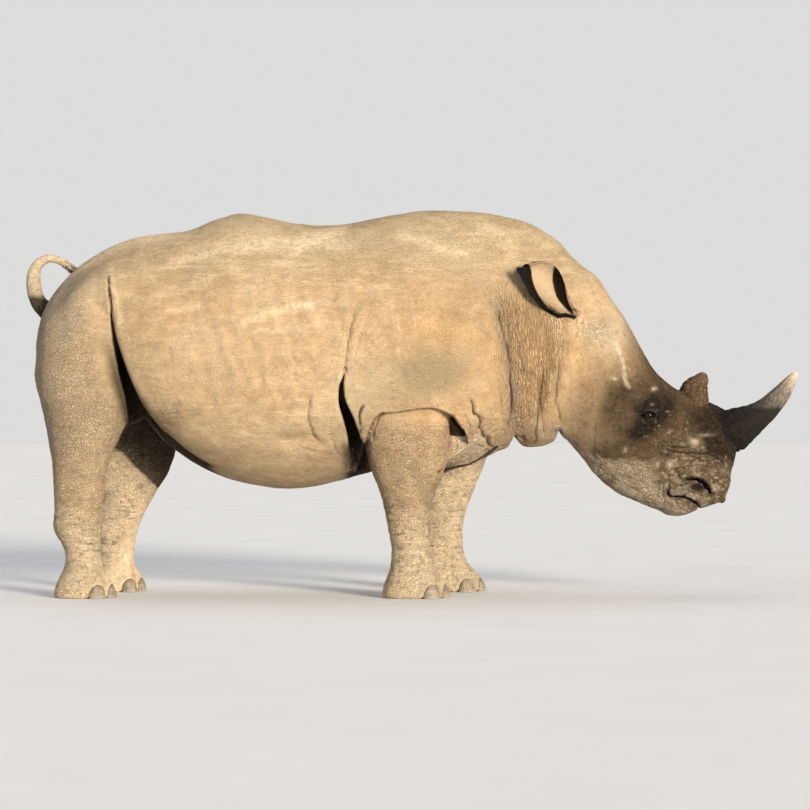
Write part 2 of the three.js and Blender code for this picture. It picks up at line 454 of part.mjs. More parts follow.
// The flesh is parted along thin cuts: limbs below the body, head and neck on slanted planes.
const REGIONS = {
  leg_front_left: (g) => block([-105 - g, 115 - g, -300], [440 + g, 900, 725 + g]),
  leg_front_right: (g) => block([-245 - g, -900, -300], [235 + g, -115 + g, 725 + g]),
  leg_hind_left: (g) => block([-2200, 60 - g, -300], [-1050 + g, 900, 636 + g]),
  leg_hind_right: (g) => block([-2200, -900, -300], [-1250 + g, -60 + g, 728 + g]),
  head: (g) => block([695 - g, -1000, -200], [3095, 1000, 2500], 0.166).intersect(block([-3000, -1500, 300], [3000, 1500, 2500])),
  neck: (g) => block([430 - g, -1000, -200], [2830, 1000, 2500], -0.14),
};
for (const [name, region] of Object.entries(REGIONS)) {
  const color = name.startsWith('leg') ? LEG_HIDE : name === 'head' ? FACE_HIDE : HIDE;
  pieces.push({ name, piece: body.intersect(region(0)), color, roughness: 0.92 });
  body = body.subtract(region(GAP));
}
pieces.push({ name: 'trunk', piece: body, color: HIDE, roughness: 0.92 });

for (const p of pieces) add(p.name, p.piece, p.color, p.roughness);

export default group;
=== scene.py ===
# White rhinoceros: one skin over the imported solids, with its folds and wrinkles,
# eyes with lids, horns, nails, the hair of ears, lids and tail, and a plain studio.
import math
import time
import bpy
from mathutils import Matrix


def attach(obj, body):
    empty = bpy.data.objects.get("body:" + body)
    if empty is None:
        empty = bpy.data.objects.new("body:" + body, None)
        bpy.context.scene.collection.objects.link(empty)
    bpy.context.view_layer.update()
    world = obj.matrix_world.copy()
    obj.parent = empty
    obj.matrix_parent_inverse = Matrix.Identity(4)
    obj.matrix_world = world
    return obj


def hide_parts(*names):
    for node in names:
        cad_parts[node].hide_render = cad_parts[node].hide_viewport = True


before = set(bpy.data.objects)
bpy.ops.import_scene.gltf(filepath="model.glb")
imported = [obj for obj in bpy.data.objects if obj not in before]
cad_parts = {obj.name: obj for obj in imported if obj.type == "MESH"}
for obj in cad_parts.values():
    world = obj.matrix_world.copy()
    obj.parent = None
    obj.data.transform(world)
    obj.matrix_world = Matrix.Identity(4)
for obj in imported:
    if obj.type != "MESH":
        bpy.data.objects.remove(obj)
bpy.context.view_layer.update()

from concurrent.futures import ThreadPoolExecutor

import bpy
import numpy as np
import openvdb as vdb
from mathutils import Vector

T0 = time.time()
f32 = np.float32


def log(*a):
    print("[rhino %.1fs]" % (time.time() - T0), *a, flush=True)


# ---------------------------------------------------------------- curves and blends

def curve(rows):
    """A smooth function through rows of (position, value), level past its ends."""
    r = np.array(sorted(rows), float)
    x, y = r[:, 0], r[:, 1]
    h = np.diff(x)
    s = np.diff(y) / h
    m = np.empty(len(x))
    m[0], m[-1] = s[0], s[-1]
    m[1:-1] = (s[:-1] * h[1:] + s[1:] * h[:-1]) / (h[1:] + h[:-1])
    g = np.linspace(x[0], x[-1], 1024)
    i = np.clip(np.searchsorted(x, g, side="right") - 1, 0, len(x) - 2)
    t = (g - x[i]) / h[i]
    v = ((2 * t**3 - 3 * t**2 + 1) * y[i] + (t**3 - 2 * t**2 + t) * h[i] * m[i]
         + (-2 * t**3 + 3 * t**2) * y[i + 1] + (t**3 - t**2) * h[i] * m[i + 1])
    return lambda q: np.interp(q, g, v).astype(f32)


def columns(rows):
    return [curve([(r[0], r[i]) for r in rows]) for i in range(1, len(rows[0]))]


def smin(a, b, k):
    h = np.clip(0.5 + 0.5 * (b - a) / k, 0, 1)
    return b + (a - b) * h - k * h * (1 - h)


def smax(a, b, k):
    return -smin(-a, -b, k)


def ease(e0, e1, v):
    t = np.clip((v - e0) / (e1 - e0), 0, 1)
    return t * t * (3 - 2 * t)


def section(a, b, wa, wb, n):
    """How far (a, b) lies outside a superellipse with half sizes wa and wb."""
    r = (np.abs(a / wa) ** n + np.abs(b / wb) ** n) ** (1.0 / n)
    r = np.maximum(r, 1e-4)
    f = (1 - 1 / r) * np.sqrt(a * a + b * b)
    return np.where(r < 0.05, -np.minimum(wa, wb), f)


def ellipsoid(x, y, z, c, r, pitch=0.0, yaw=0.0):
    px, py, pz = x - c[0], y - c[1], z - c[2]
    if yaw:
        cs, sn = math.cos(yaw), math.sin(yaw)
        px, py = px * cs + py * sn, -px * sn + py * cs
    if pitch:
        cs, sn = math.cos(pitch), math.sin(pitch)
        px, pz = px * cs + pz * sn, -px * sn + pz * cs
    k0 = np.sqrt((px / r[0])**2 + (py / r[1])**2 + (pz / r[2])**2)
    k1 = np.sqrt((px / r[0]**2)**2 + (py / r[1]**2)**2 + (pz / r[2]**2)**2)
    return k0 * (k0 - 1) / np.maximum(k1, 1e-4)


def along(pts, steps=6):
    """Points on a smooth path through the rows of pts."""
    p = np.array(pts, float)
    q = np.vstack([2 * p[0] - p[1], p, 2 * p[-1] - p[-2]])
    out = []
    for i in range(1, len(q) - 2):
        for k in range(steps):
            t = k / steps
            out.append(0.5 * (2 * q[i] + (q[i + 1] - q[i - 1]) * t + (2 * q[i - 1] - 5 * q[i] + 4 * q[i + 1] - q[i + 2]) * t * t
                              + (3 * q[i] - q[i - 1] - 3 * q[i + 1] + q[i + 2]) * t**3))
    out.append(p[-1])
    return np.array(out)


MIDDLE = 0.00465                      # metres to one unit of the side view's drawing, at the middle plane


def at(u, v, y=-0.25):
    """A place of the side drawing, 810 units across, on the plane y: its x and z."""
    k = MIDDLE * (15.5 + y) / 15.5
    return (-0.03255 + (u - 405) * k, 0.87885 + (405 - v) * k)


# places are read off a side drawing, 810 units across, seen from 15.5 m on the animal's right

# ---------------------------------------------------------------- the body's named sizes, metres

TOP = curve([(-1.78, 1.30), (-1.60, 1.475), (-1.49, 1.555), (-1.395, 1.612), (-1.29, 1.650), (-1.167, 1.668),
             (-1.046, 1.688), (-0.86, 1.757), (-0.79, 1.768), (-0.70, 1.757), (-0.50, 1.718), (-0.288, 1.720), (-0.079, 1.765),
             (0.07, 1.784), (0.27, 1.758), (0.45, 1.732), (0.53, 1.722), (0.61, 1.685), (0.69, 1.630), (0.76, 1.54), (0.92, 1.27)])
BELLY = curve([(-1.80, 0.95), (-1.50, 0.86), (-1.35, 0.80), (-1.22, 0.735), (-1.10, 0.655), (-0.99, 0.590), (-0.92, 0.560), (-0.80, 0.520),
               (-0.70, 0.500), (-0.56, 0.490), (-0.42, 0.508), (-0.30, 0.540), (-0.10, 0.585), (0.10, 0.585), (0.25, 0.60),
               (0.36, 0.655), (0.44, 0.680), (0.48, 0.688), (0.56, 0.684), (0.62, 0.693), (0.68, 0.730), (0.74, 0.78), (0.85, 0.92), (0.92, 1.02)])
WIDE = curve([(-1.80, 0.25), (-1.60, 0.37), (-1.40, 0.450), (-1.20, 0.503), (-1.00, 0.540), (-0.75, 0.562),
              (-0.50, 0.562), (-0.30, 0.542), (-0.10, 0.505), (0.10, 0.460), (0.45, 0.360), (0.75, 0.255), (0.85, 0.19), (0.92, 0.12)])
WIDE_Z = curve([(-1.80, 1.15), (-1.40, 1.14), (-1.00, 1.08), (-0.50, 1.03), (-0.10, 1.07), (0.20, 1.14),
                (0.50, 1.20), (0.75, 1.20), (0.92, 1.15)])
FLANK = curve([(0.40, -0.60), (0.55, -0.86), (0.64, -1.00), (0.73, -1.11), (0.80, -1.185), (0.90, -1.25),
               (1.00, -1.30), (1.10, -1.335), (1.20, -1.365), (1.30, -1.40), (1.40, -1.50), (1.50, -1.75), (1.65, -2.0)])
RUMP = curve([(0.45, -0.75), (0.52, -0.90), (0.60, -1.03), (0.665, -1.12), (0.78, -1.205), (0.893, -1.275),
              (1.03, -1.325), (1.18, -1.378), (1.32, -1.41), (1.45, -1.44), (1.60, -1.62), (1.9, -1.9)])
SEAT = curve([(0.85, -1.86), (0.94, -1.778), (1.03, -1.755), (1.09, -1.743), (1.18, -1.738), (1.30, -1.712), (1.37, -1.682),
              (1.43, -1.645), (1.50, -1.59), (1.70, -1.42), (1.90, -1.30)])
SKIRT = curve([(-0.50, 0.2), (-0.32, 0.35), (-0.24, 0.62), (-0.185, 0.79), (-0.145, 0.838), (-0.10, 0.843), (0.155, 0.843),
               (0.185, 0.825), (0.215, 0.782), (0.245, 0.735), (0.262, 0.66), (0.285, 0.40), (0.33, 0.1), (0.45, 0.0)])

# limbs: height, front x, rear x, middle |y|, half width, roundness
HIND_NEAR = columns([
    (1.50, -1.46, -1.58, 0.20, 0.08, 2.0), (1.42, -1.40, -1.64, 0.20, 0.15, 2.0), (1.30, -1.385, -1.690, 0.21, 0.195, 2.0),
    (1.15, -1.370, -1.730, 0.225, 0.215, 2.1), (1.00, -1.345, -1.722, 0.24, 0.215, 2.2), (0.86, -1.325, -1.690, 0.25, 0.200, 2.2),
    (0.78, -1.325, -1.672, 0.255, 0.180, 2.2), (0.62, -1.383, -1.648, 0.26, 0.138, 2.2), (0.45, -1.415, -1.636, 0.263, 0.108, 2.2),
    (0.30, -1.422, -1.632, 0.266, 0.099, 2.2), (0.22, -1.424, -1.590, 0.268, 0.098, 2.2), (0.15, -1.414, -1.588, 0.27, 0.104, 2.3),
    (0.035, -1.374, -1.632, 0.27, 0.127, 2.4), (-0.05, -1.370, -1.636, 0.27, 0.129, 2.4)])
HIND_FAR = columns([
    (1.50, -1.46, -1.58, 0.20, 0.08, 2.0), (1.42, -1.40, -1.64, 0.20, 0.15, 2.0), (1.30, -1.37, -1.680, 0.21, 0.195, 2.0),
    (1.15, -1.32, -1.700, 0.225, 0.215, 2.1), (1.00, -1.25, -1.675, 0.24, 0.215, 2.2), (0.86, -1.17, -1.630, 0.25, 0.205, 2.2),
    (0.75, -1.12, -1.590, 0.255, 0.190, 2.2), (0.66, -1.12, -1.555, 0.257, 0.172, 2.2), (0.56, -1.155, -1.520, 0.26, 0.145, 2.2),
    (0.46, -1.215, -1.500, 0.263, 0.116, 2.2), (0.30, -1.290, -1.492, 0.266, 0.100, 2.2), (0.15, -1.312, -1.490, 0.27, 0.104, 2.3),
    (0.035, -1.280, -1.518, 0.27, 0.127, 2.4), (-0.05, -1.276, -1.522, 0.27, 0.129, 2.4)])
FORE_NEAR = columns([
    (0.98, 0.12, -0.17, 0.29, 0.12, 2.2), (0.90, 0.165, -0.205, 0.29, 0.160, 2.5), (0.80, 0.174, -0.225, 0.29, 0.170, 2.6),
    (0.70, 0.170, -0.214, 0.288, 0.160, 2.5), (0.62, 0.160, -0.198, 0.284, 0.144, 2.4), (0.45, 0.098, -0.140, 0.277, 0.114, 2.2),
    (0.30, 0.076, -0.108, 0.274, 0.100, 2.2), (0.16, 0.100, -0.096, 0.277, 0.110, 2.3), (0.035, 0.148, -0.134, 0.28, 0.138, 2.4),
    (-0.05, 0.152, -0.138, 0.28, 0.140, 2.4)])
FORE_FAR = columns([
    (0.98, 0.24, -0.08, 0.29, 0.12, 2.2), (0.90, 0.32, -0.07, 0.29, 0.155, 2.4), (0.80, 0.365, -0.06, 0.29, 0.165, 2.5),
    (0.70, 0.372, -0.03, 0.288, 0.156, 2.4), (0.55, 0.325, 0.030, 0.28, 0.126, 2.2), (0.46, 0.290, 0.048, 0.277, 0.115, 2.2),
    (0.30, 0.242, 0.052, 0.274, 0.100, 2.2), (0.17, 0.250, 0.045, 0.277, 0.110, 2.3), (0.035, 0.325, 0.022, 0.28, 0.138, 2.4),
    (-0.05, 0.332, 0.020, 0.28, 0.140, 2.4)])

# head: sections on half planes that turn about a line across the body under the throat
HINGE = (0.41, -0.54)
HEAD = columns([
    (88.0, 2.02, 1.36, 0.200, 1.78, 2.0, 2.0), (82.0, 2.075, 1.33, 0.224, 1.76, 2.0, 2.0), (77.7, 2.072, 1.325, 0.224, 1.74, 2.0, 2.0),
    (74.9, 1.980, 1.275, 0.224, 1.70, 2.1, 2.0), (71.4, 1.880, 1.225, 0.224, 1.64, 2.2, 2.0), (68.6, 1.800, 1.185, 0.224, 1.60, 2.3, 2.0),
    (66.1, 1.742, 1.165, 0.218, 1.56, 2.4, 2.0), (62.9, 1.708, 1.150, 0.206, 1.52, 2.4, 2.0), (60.0, 1.700, 1.148, 0.190, 1.49, 2.4, 2.1),
    (57.0, 1.712, 1.158, 0.172, 1.46, 2.2, 2.2), (54.5, 1.738, 1.168, 0.158, 1.44, 2.0, 2.3), (51.5, 1.735, 1.186, 0.150, 1.42, 2.1, 2.5),
    (49.0, 1.682, 1.200, 0.152, 1.40, 2.3, 2.8), (47.9, 1.625, 1.219, 0.152, 1.395, 2.5, 3.0), (46.5, 1.558, 1.258, 0.146, 1.392, 2.8, 3.0),
    (45.6, 1.528, 1.309, 0.144, 1.405, 2.8, 3.0), (44.6, 1.497, 1.351, 0.134, 1.42, 2.8, 2.8), (43.6, 1.440, 1.400, 0.112, 1.42, 2.4, 2.4)])

# tail: x, y, z, radius
TAIL = [(-1.62, 0, 1.296, .044), (-1.675, 0, 1.305, .044), (-1.727, 0, 1.345, .037), (-1.753, 0, 1.40, .036), (-1.760, 0, 1.45, .034),
        (-1.757, 0, 1.495, .029), (-1.735, 0, 1.538, .023), (-1.692, 0, 1.559, .018), (-1.643, 0.005, 1.553, .016),
        (-1.603, 0.015, 1.527, .014), (-1.578, 0.03, 1.508, .011)]
# ear of the left side: x, y, z, half width across, half depth
EAR = [(.805, .040, 1.205, .020, .018), (.770, .100, 1.243, .021, .020), (.745, .180, 1.276, .024, .026), (.700, .268, 1.316, .043, .037),
       (.664, .304, 1.358, .067, .045), (.628, .334, 1.400, .087, .048), (.587, .364, 1.450, .090, .044), (.535, .394, 1.482, .052, .028),
       (.499, .408, 1.506, .015, .010)]
EAR_OPEN = np.array([0.32, 0.93, 0.20]) / np.linalg.norm([0.32, 0.93, 0.20])
EYE = dict(x=1.086, y=0.182, z=0.831, r=0.0275)
MOUTH = along([at(u, v, -0.13) for u, v in ((667, 490), (670.5, 496), (684, 497), (691, 500), (697, 504), (700.5, 511), (701, 518))], 3)
NOSTRIL = along([at(u, v, -0.13) for u, v in ((687, 479.5), (694, 478.8), (701, 481.5), (707, 487), (710, 493.5))], 4)
NOSTRIL_W = curve([(0, 0.0022), (0.25, 0.0048), (0.55, 0.0082), (0.8, 0.0078), (1.0, 0.003)])


# ---------------------------------------------------------------- the skin as a field

def gap_rows(rows, y):
    """A tapering gap of the side view: rows of (u, v, half width)."""
    path = along([at(u, v, y) for u, v, _ in rows], 4)
    return path, curve([(i / (len(rows) - 1), w) for i, (_, _, w) in enumerate(rows)])


FLANK_GAP = gap_rows([(109.6, 283, .001), (111.0, 308, .005), (114.0, 330, .010), (118.5, 352, .016), (124.0, 374, .024), (130.0, 396, .036),
                      (134.0, 415, .052), (139, 432, .082), (142, 450, .125)], -0.38)
ELBOW_GAP = gap_rows([(346.5, 368, .001), (342, 386, .009), (342.5, 402, .017), (349, 420, .024), (354, 438, .029), (357, 455, .040),
                      (358.5, 472, .056), (360, 492, .08)], -0.42)
LOBE_GAPS = [gap_rows([(514.5, 434.5, .003), (515, 439, .012), (515.5, 444, .024), (516, 452, .042)], -0.1),
             gap_rows([(559.5, 430, .003), (560, 437, .016), (562, 446, .036)], -0.1)]


def torso(x, y, z):
    top, low, zc = TOP(x), BELLY(x), WIDE_Z(x)
    up = z > zc
    f = section(y, z - zc, WIDE(x), np.where(up, top - zc, zc - low), np.where(up, 2.05, 2.25).astype(f32))
    f = smax(f, (FLANK(z) - x) * 0.9 - 0.9 * (1 - ease(0.07, 0.20, np.abs(y))), 0.055)
    f = smax(f, (RUMP(z) - x) * 0.85, 0.07)
    return smax(f, (x - 0.915) * 0.9, 0.08)


def limb(x, y, z, c, top):
    front, rear = c[0](z), c[1](z)
    cx, side = (front + rear) / 2, c[2](z)
    f = section(x - cx, y - side, (front - rear) / 2, c[3](z), c[4](z))
    # three toes round the front of the foot
    a = np.arctan2(y - side, x - cx)
    toes = (np.cos(a * (2 * np.pi / 0.95)) * np.where(np.abs(a) < 1.425, 1, 0)) * (1 - ease(0.07, 0.15, z))
    f = f - 0.0085 * toes
    return smax(f, z - top, 0.06)


def path_distance(x, y, z, rows, k=0.0):
    best = None
    for a, b in zip(rows[:-1], rows[1:]):
        d = b[:3] - a[:3]
        t = np.clip(((x - a[0]) * d[0] + (y - a[1]) * d[1] + (z - a[2]) * d[2]) / (d @ d), 0, 1)
        v = np.sqrt((x - a[0] - t * d[0])**2 + (y - a[1] - t * d[1])**2 + (z - a[2] - t * d[2])**2) - (a[3] + (b[3] - a[3]) * t)
        best = v if best is None else smin(best, v, 0.010)
    return best


def sheet_distance(x, z, rows):
    """Distance in the side view to a path of (x, z), and how far along it the nearest point is, 0 to 1."""
    best = np.full(x.shape, 1e3, f32)
    where = np.zeros(x.shape, f32)
    n = len(rows) - 1
    for i, (a, b) in enumerate(zip(rows[:-1], rows[1:])):
        d = b[:2] - a[:2]
        t = np.clip(((x - a[0]) * d[0] + (z - a[1]) * d[1]) / (d @ d), 0, 1)
        v = (x - a[0] - t * d[0])**2 + (z - a[1] - t * d[1])**2
        m = v < best
        best = np.where(m, v, best)
        where = np.where(m, (i + t) / n, where)
    return np.sqrt(best), where


TAIL_PATH = along(TAIL, 3)
EAR_PATH = along(EAR, 3)


def ear(x, y, z):
    """The left ear: how far a point is outside the leaf, and how far outside its hollow."""
    P = EAR_PATH
    n = len(P)
    best = np.full(x.shape, 1e3, f32)
    across, deep, wa, wb, over, run = [np.zeros(x.shape, f32) for _ in range(6)]
    for j in range(n - 1):
        d = P[j + 1, :3] - P[j, :3]
        t = ((x - P[j, 0]) * d[0] + (y - P[j, 1]) * d[1] + (z - P[j, 2]) * d[2]) / (d @ d)
        tc = np.clip(t, 0, 1)
        rx, ry, rz = x - P[j, 0] - tc * d[0], y - P[j, 1] - tc * d[1], z - P[j, 2] - tc * d[2]
        dist = rx * rx + ry * ry + rz * rz
        m = dist < best
        if not m.any():
            continue
        u = d / np.linalg.norm(d)
        dn = EAR_OPEN - (EAR_OPEN @ u) * u
        dn /= np.linalg.norm(dn)
        ac = np.cross(u, dn)
        best = np.where(m, dist, best)
        across = np.where(m, rx * ac[0] + ry * ac[1] + rz * ac[2], across)
        deep = np.where(m, rx * dn[0] + ry * dn[1] + rz * dn[2], deep)
        e = 0 * t
        if j == 0:
            e = np.minimum(t, 0)
        if j == n - 2:
            e = np.maximum(t - 1, 0)
        over = np.where(m, e * np.linalg.norm(d), over)
        wa = np.where(m, P[j, 3] + (P[j + 1, 3] - P[j, 3]) * tc, wa)
        wb = np.where(m, P[j, 4] + (P[j + 1, 4] - P[j, 4]) * tc, wb)
        run = np.where(m, (j + tc) / (n - 1), run)
    outer = section(across, deep, wa, wb, 2.0)
    outer = np.where(over != 0, np.sqrt(np.maximum(outer, 0)**2 + over**2), outer)
    # the hollow: a trough open on the outer side, which starts a little above the root and ends under the tip
    wall = 0.011
    room = ease(0.24, 0.50, run) * ease(1.02, 0.80, run)
    half = np.maximum((wa - wall) * (0.55 + 0.45 * room), 0.004)
    depth = wb * (0.30 + 0.54 * room)
    s = (across + 0.004) / half
    a = np.abs(s)
    s = s + 0.26 * ease(0.85, 0.60, run) * np.clip(1 - s * s, 0, 1)                 # deepest under the front wall
    floor_ = wb * 1.15 - (depth + wb * 1.15) * np.clip(1 - s * s, 0, 1)**0.38
    inner = np.maximum((a - 1) * half, (floor_ - deep) * 0.6)
    inner = np.maximum(inner, (0.31 - run) * 0.5)
    return outer, inner.astype(f32), run.astype(f32), across.astype(f32)


def head(x, y, z):
    dx, dz = x - HINGE[0], z - HINGE[1]
    r = np.sqrt(dx * dx + dz * dz)
    a = np.degrees(np.arctan2(dz, dx)).astype(f32)
    top, low, half, wide, above, below = [c(a) for c in HEAD]
    up = r > wide
    f = section(y, r - wide, half, np.where(up, top - wide, wide - low), np.where(up, above, below))
    f = smax(f, (math.radians(43.2) - np.radians(a)) * r, 0.03)
    return smax(f, (np.radians(a) - math.radians(86.0)) * r, 0.05)


def bump(x, y, z, c, s, amount):
    """A soft swelling of a field: centre, spread along the axes, height."""
    return -amount * np.exp(-(((x - c[0]) / s[0])**2 + ((y - c[1]) / s[1])**2 + ((z - c[2]) / s[2])**2))


def face(f, x, y, z):
    """Bones, lips, nostrils and lids on the head."""
    ay = np.abs(y)
    f = f + bump(x, ay, z, (1.110, 0.175, 0.905), (0.075, 0.05, 0.035), 0.014)      # brow
    f = f + bump(x, ay, z, (0.985, 0.235, 0.770), (0.110, 0.09, 0.040), 0.014)      # cheek bone
    f = f + bump(x, ay, z, (0.865, 0.235, 0.660), (0.120, 0.10, 0.110), 0.010)      # jaw muscle
    f = f + bump(x, ay, z, (0.935, 0.215, 0.935), (0.065, 0.08, 0.060), -0.020)     # temple
    f = f + bump(x, ay, z, (1.165, 0.180, 0.680), (0.070, 0.09, 0.050), -0.012)     # hollow ahead of the cheek
    f = f + bump(x, ay, z, (0.955, 0.100, 1.150), (0.060, 0.05, 0.150), 0.010)      # crest of the forehead
    f = f + bump(x, y, z, (1.440, 0.0, 0.640), (0.070, 0.13, 0.060), 0.012)         # nose under the horn
    # lips: the upper one overhangs, and the mouth is a slit behind it
    f = f + bump(x, ay, z, (1.360, 0.115, 0.455), (0.075, 0.07, 0.030), 0.010)
    f = f + bump(x, ay, z, (1.245, 0.100, 0.400), (0.060, 0.07, 0.028), 0.008)
    f = f + bump(x, ay, z, (1.270, 0.135, 0.470), (0.045, 0.05, 0.022), 0.010)      # lip roll under the nostril
    f = f + bump(x, ay, z, (1.205, 0.140, 0.520), (0.050, 0.05, 0.060), 0.006)      # corner of the mouth
    m = (x > 1.10) & (x < 1.38) & (z > 0.34) & (z < 0.52)
    if m.any():
        d, t = sheet_distance(x[m], z[m], MOUTH)
        w = 0.0032 + 0.003 * t + 0.0011 * np.sin(210 * x[m] + 90 * z[m]) + 0.0009 * np.sin(430 * z[m] - 170 * x[m])
        f[m] = smax(f[m], np.minimum(w - d, f[m] + 0.012 + 0.030 * ease(0.0, 0.35, t)), 0.006)
    f = f + bump(x, ay, z, (1.309, 0.140, 0.496), (0.032, 0.05, 0.015), -0.008)      # floor of the nostril
    # nostril: a comma, its rim rolled out above
    m = (x > 1.20) & (x < 1.46) & (z > 0.42) & (z < 0.62)
    if m.any():
        X, Y, Z = x[m], ay[m], z[m]
        g = f[m]
        d, t = sheet_distance(X, Z, NOSTRIL)
        over = ease(-0.012, 0.010, Z - np.interp(X, NOSTRIL[:, 0], NOSTRIL[:, 1]).astype(f32))
        g = g - (0.004 + 0.010 * over) * np.exp(-((d - 0.022) / 0.013)**2) * ease(0.07, 0.10, Y)
        w = NOSTRIL_W(t) + 0.0012 * np.sin(260 * X + 80 * Z) + 0.0008 * np.sin(520 * Z - 150 * X)
        hole = smax(d - w, -(g + 0.050), 0.004)
        g = smax(g, -np.maximum(hole, 0.075 - Y), 0.006)
        f[m] = g
    # lids round a lens-shaped opening, the ball set in behind them
    m = (x > 1.00) & (x < 1.18) & (z > 0.75) & (z < 0.92) & (ay > 0.11)
    if m.any():
        X, Y, Z = x[m] - EYE["x"], ay[m] - EYE["y"], z[m] - EYE["z"]
        g = f[m]
        u, v = X * 0.995 + Z * 0.10, Z * 0.995 - X * 0.10
        # almond: two arcs that meet at the corners
        w = 0.034
        rise, fall = 0.0165 * (1 - (u / w)**2), 0.0125 * (1 - (u / w)**2)
        lens = np.maximum(np.maximum(v - rise, -v - fall), np.abs(u) - w)
        jig = 0.003 * np.sin(60 * u + 2) + 0.002 * np.sin(170 * u)
        upper, lower = ease(-0.004, 0.012, v), ease(0.002, -0.012, v)
        g = g - (0.013 * upper + 0.008 * lower) * np.exp(-((lens - 0.009) / 0.010)**2)  # thick lid edges
        g = g + 0.0035 * upper * np.exp(-((lens - 0.023 - jig) / 0.0045)**2)            # fold over the upper lid
        g = g - 0.003 * upper * np.exp(-((lens - 0.034 - jig) / 0.009)**2)
        g = g + 0.004 * lower * np.exp(-((lens - 0.018 + jig) / 0.004)**2)              # bags under the lower lid
        g = g - 0.003 * lower * np.exp(-((lens - 0.026 + jig) / 0.006)**2)
        g = g + 0.004 * lower * np.exp(-((lens - 0.036 - jig) / 0.005)**2) * ease(0.045, 0.02, np.abs(u))
        g = smax(g, -np.maximum(lens, -(g + 0.050)), 0.004)
        ball = np.sqrt(X * X + Y * Y + Z * Z) - EYE["r"] - 0.0012
        g = smax(g, -ball, 0.003)
        f[m] = g
    return f


def carve(f, x, z, gap, keep, k, box):
    """Cuts a gap of the side view out of a field, down to where keep is positive."""
    path, half = gap
    m = (x > path[:, 0].min() - box) & (x < path[:, 0].max() + box) & (z > path[:, 1].min() - box) & (z < path[:, 1].max() + box)
    if not m.any():
        return f
    d, t = sheet_distance(x[m], z[m], path)
    out = f.copy()
    out[m] = smax(f[m], -np.maximum(d - half(t), keep[m]), k)
    return out


def skin(x, y, z):
    ay = np.abs(y)
    lo, hi = x.min(), x.max()
    f = torso(x, y, z)
    if hi > -0.55 and lo < 0.62:
        f = smin(f, ellipsoid(x, ay, z, (0.03, 0.265, 1.06), (0.345, 0.235, 0.46), 0.06), 0.10)
        flap = 0.17 + 0.14 * ease(0.775, 0.735, z) * ease(0.10, 0.16, x)
        f = smax(f, smin(SKIRT(x) - z, ay - flap, 0.05), 0.008)
    if hi > -0.25:
        f = smin(f, ellipsoid(x, ay, z, (0.30, 0.10, 1.40), (0.36, 0.22, 0.34), -0.15), 0.12)
        f = smin(f, ellipsoid(x, y, z, (0.20, 0, 0.80), (0.22, 0.25, 0.16)), 0.08)
    if hi > -0.50 and lo < 0.0:
        f = carve(f, x, z, ELBOW_GAP, 0.21 - ay, 0.014, 0.16)
    if hi > 0.30:
        f = smin(f, head(x, y, z), 0.10)
        for g in LOBE_GAPS:
            f = carve(f, x, z, g, ay * 0 - 1, 0.016, 0.10)
    if lo < -0.80:
        f = carve(f, x, z, FLANK_GAP, 0.14 - ay, 0.012, 0.22)
        hips = smin(ellipsoid(x, ay, z, (-1.36, 0.12, 1.20), (0.36, 0.29, 0.44), -0.35),
                    ellipsoid(x, ay, z, (-1.57, 0.15, 1.20), (0.17, 0.22, 0.27)), 0.10)
        hips = carve(hips, x, z, FLANK_GAP, 0.14 - ay, 0.010, 0.22)
        legs = smin(limb(x, -y, z, HIND_NEAR, 1.46), limb(x, y, z, HIND_FAR, 1.46), 0.04)
        hips = smin(hips, legs, 0.07)
        f = smin(f, hips, 0.012 + 0.19 * ease(1.28, 1.52, z))
        m = x < -0.85                                                      # croup and seat keep the side view's line
        f[m] = smax(f[m], (z[m] - TOP(x[m]) - 0.004 + 0.7 * y[m]**2 + 0.16 * ease(-0.95, -1.20, x[m]) * (np.sqrt(y[m]**2 + 0.0009) - 0.03)) * 0.9, 0.025)
        f[m] = smax(f[m], SEAT(z[m]) - x[m] + 0.3 * y[m]**2, 0.045)
        # the cleft under the tail
        if lo < -1.40:
            m = (x < -1.45) & (ay < 0.12) & (z > 0.6) & (z < 1.40)
            f = f + 0.020 * np.where(m, np.exp(-(ay / 0.022)**2) * ease(1.36, 1.22, z) * ease(0.70, 0.95, z), 0)
    if hi > -0.45 and lo < 0.65:
        legs = smin(limb(x, -y, z, FORE_NEAR, 0.96), limb(x, y, z, FORE_FAR, 0.96), 0.03)
        f = smin(f, legs, 0.014)
    if lo < -1.45:
        f = smin(f, path_distance(x, y, z, TAIL_PATH), 0.022)
    if hi > 0.85:
        f = face(f, x, y, z)
    if hi > 0.44 and lo < 0.88:
        m = (x > 0.44) & (x < 0.88) & (z > 1.12) & (z < 1.60) & (ay > 0.06) & (ay < 0.50)
        if m.any():
            outer, inner, _, _ = ear(x[m], ay[m], z[m])
            f[m] = smax(smin(f[m], outer, 0.022), -inner, 0.006)
    return smax(f, -z, 0.010)


# ---------------------------------------------------------------- a mesh of the field

def ruler(rows):
    """Grid lines whose spacing changes along an axis; rows are (start, spacing) and the end."""
    lines = [rows[0][0]]
    for (a, h), nxt in zip(rows[:-1], rows[1:]):
        b = nxt[0]
        n = max(1, int(round((b - a) / h)))
        lines += list(a + (b - a) * np.arange(1, n + 1) / n)
    lines = np.array(lines)
    # even out the jumps of spacing
    s = np.diff(lines)
    k = np.ones(5) / 5
    s2 = np.convolve(np.pad(s, 2, mode="edge"), k, mode="valid")
    s2 *= s.sum() / s2.sum()
    return np.concatenate([[lines[0]], lines[0] + np.cumsum(s2)])


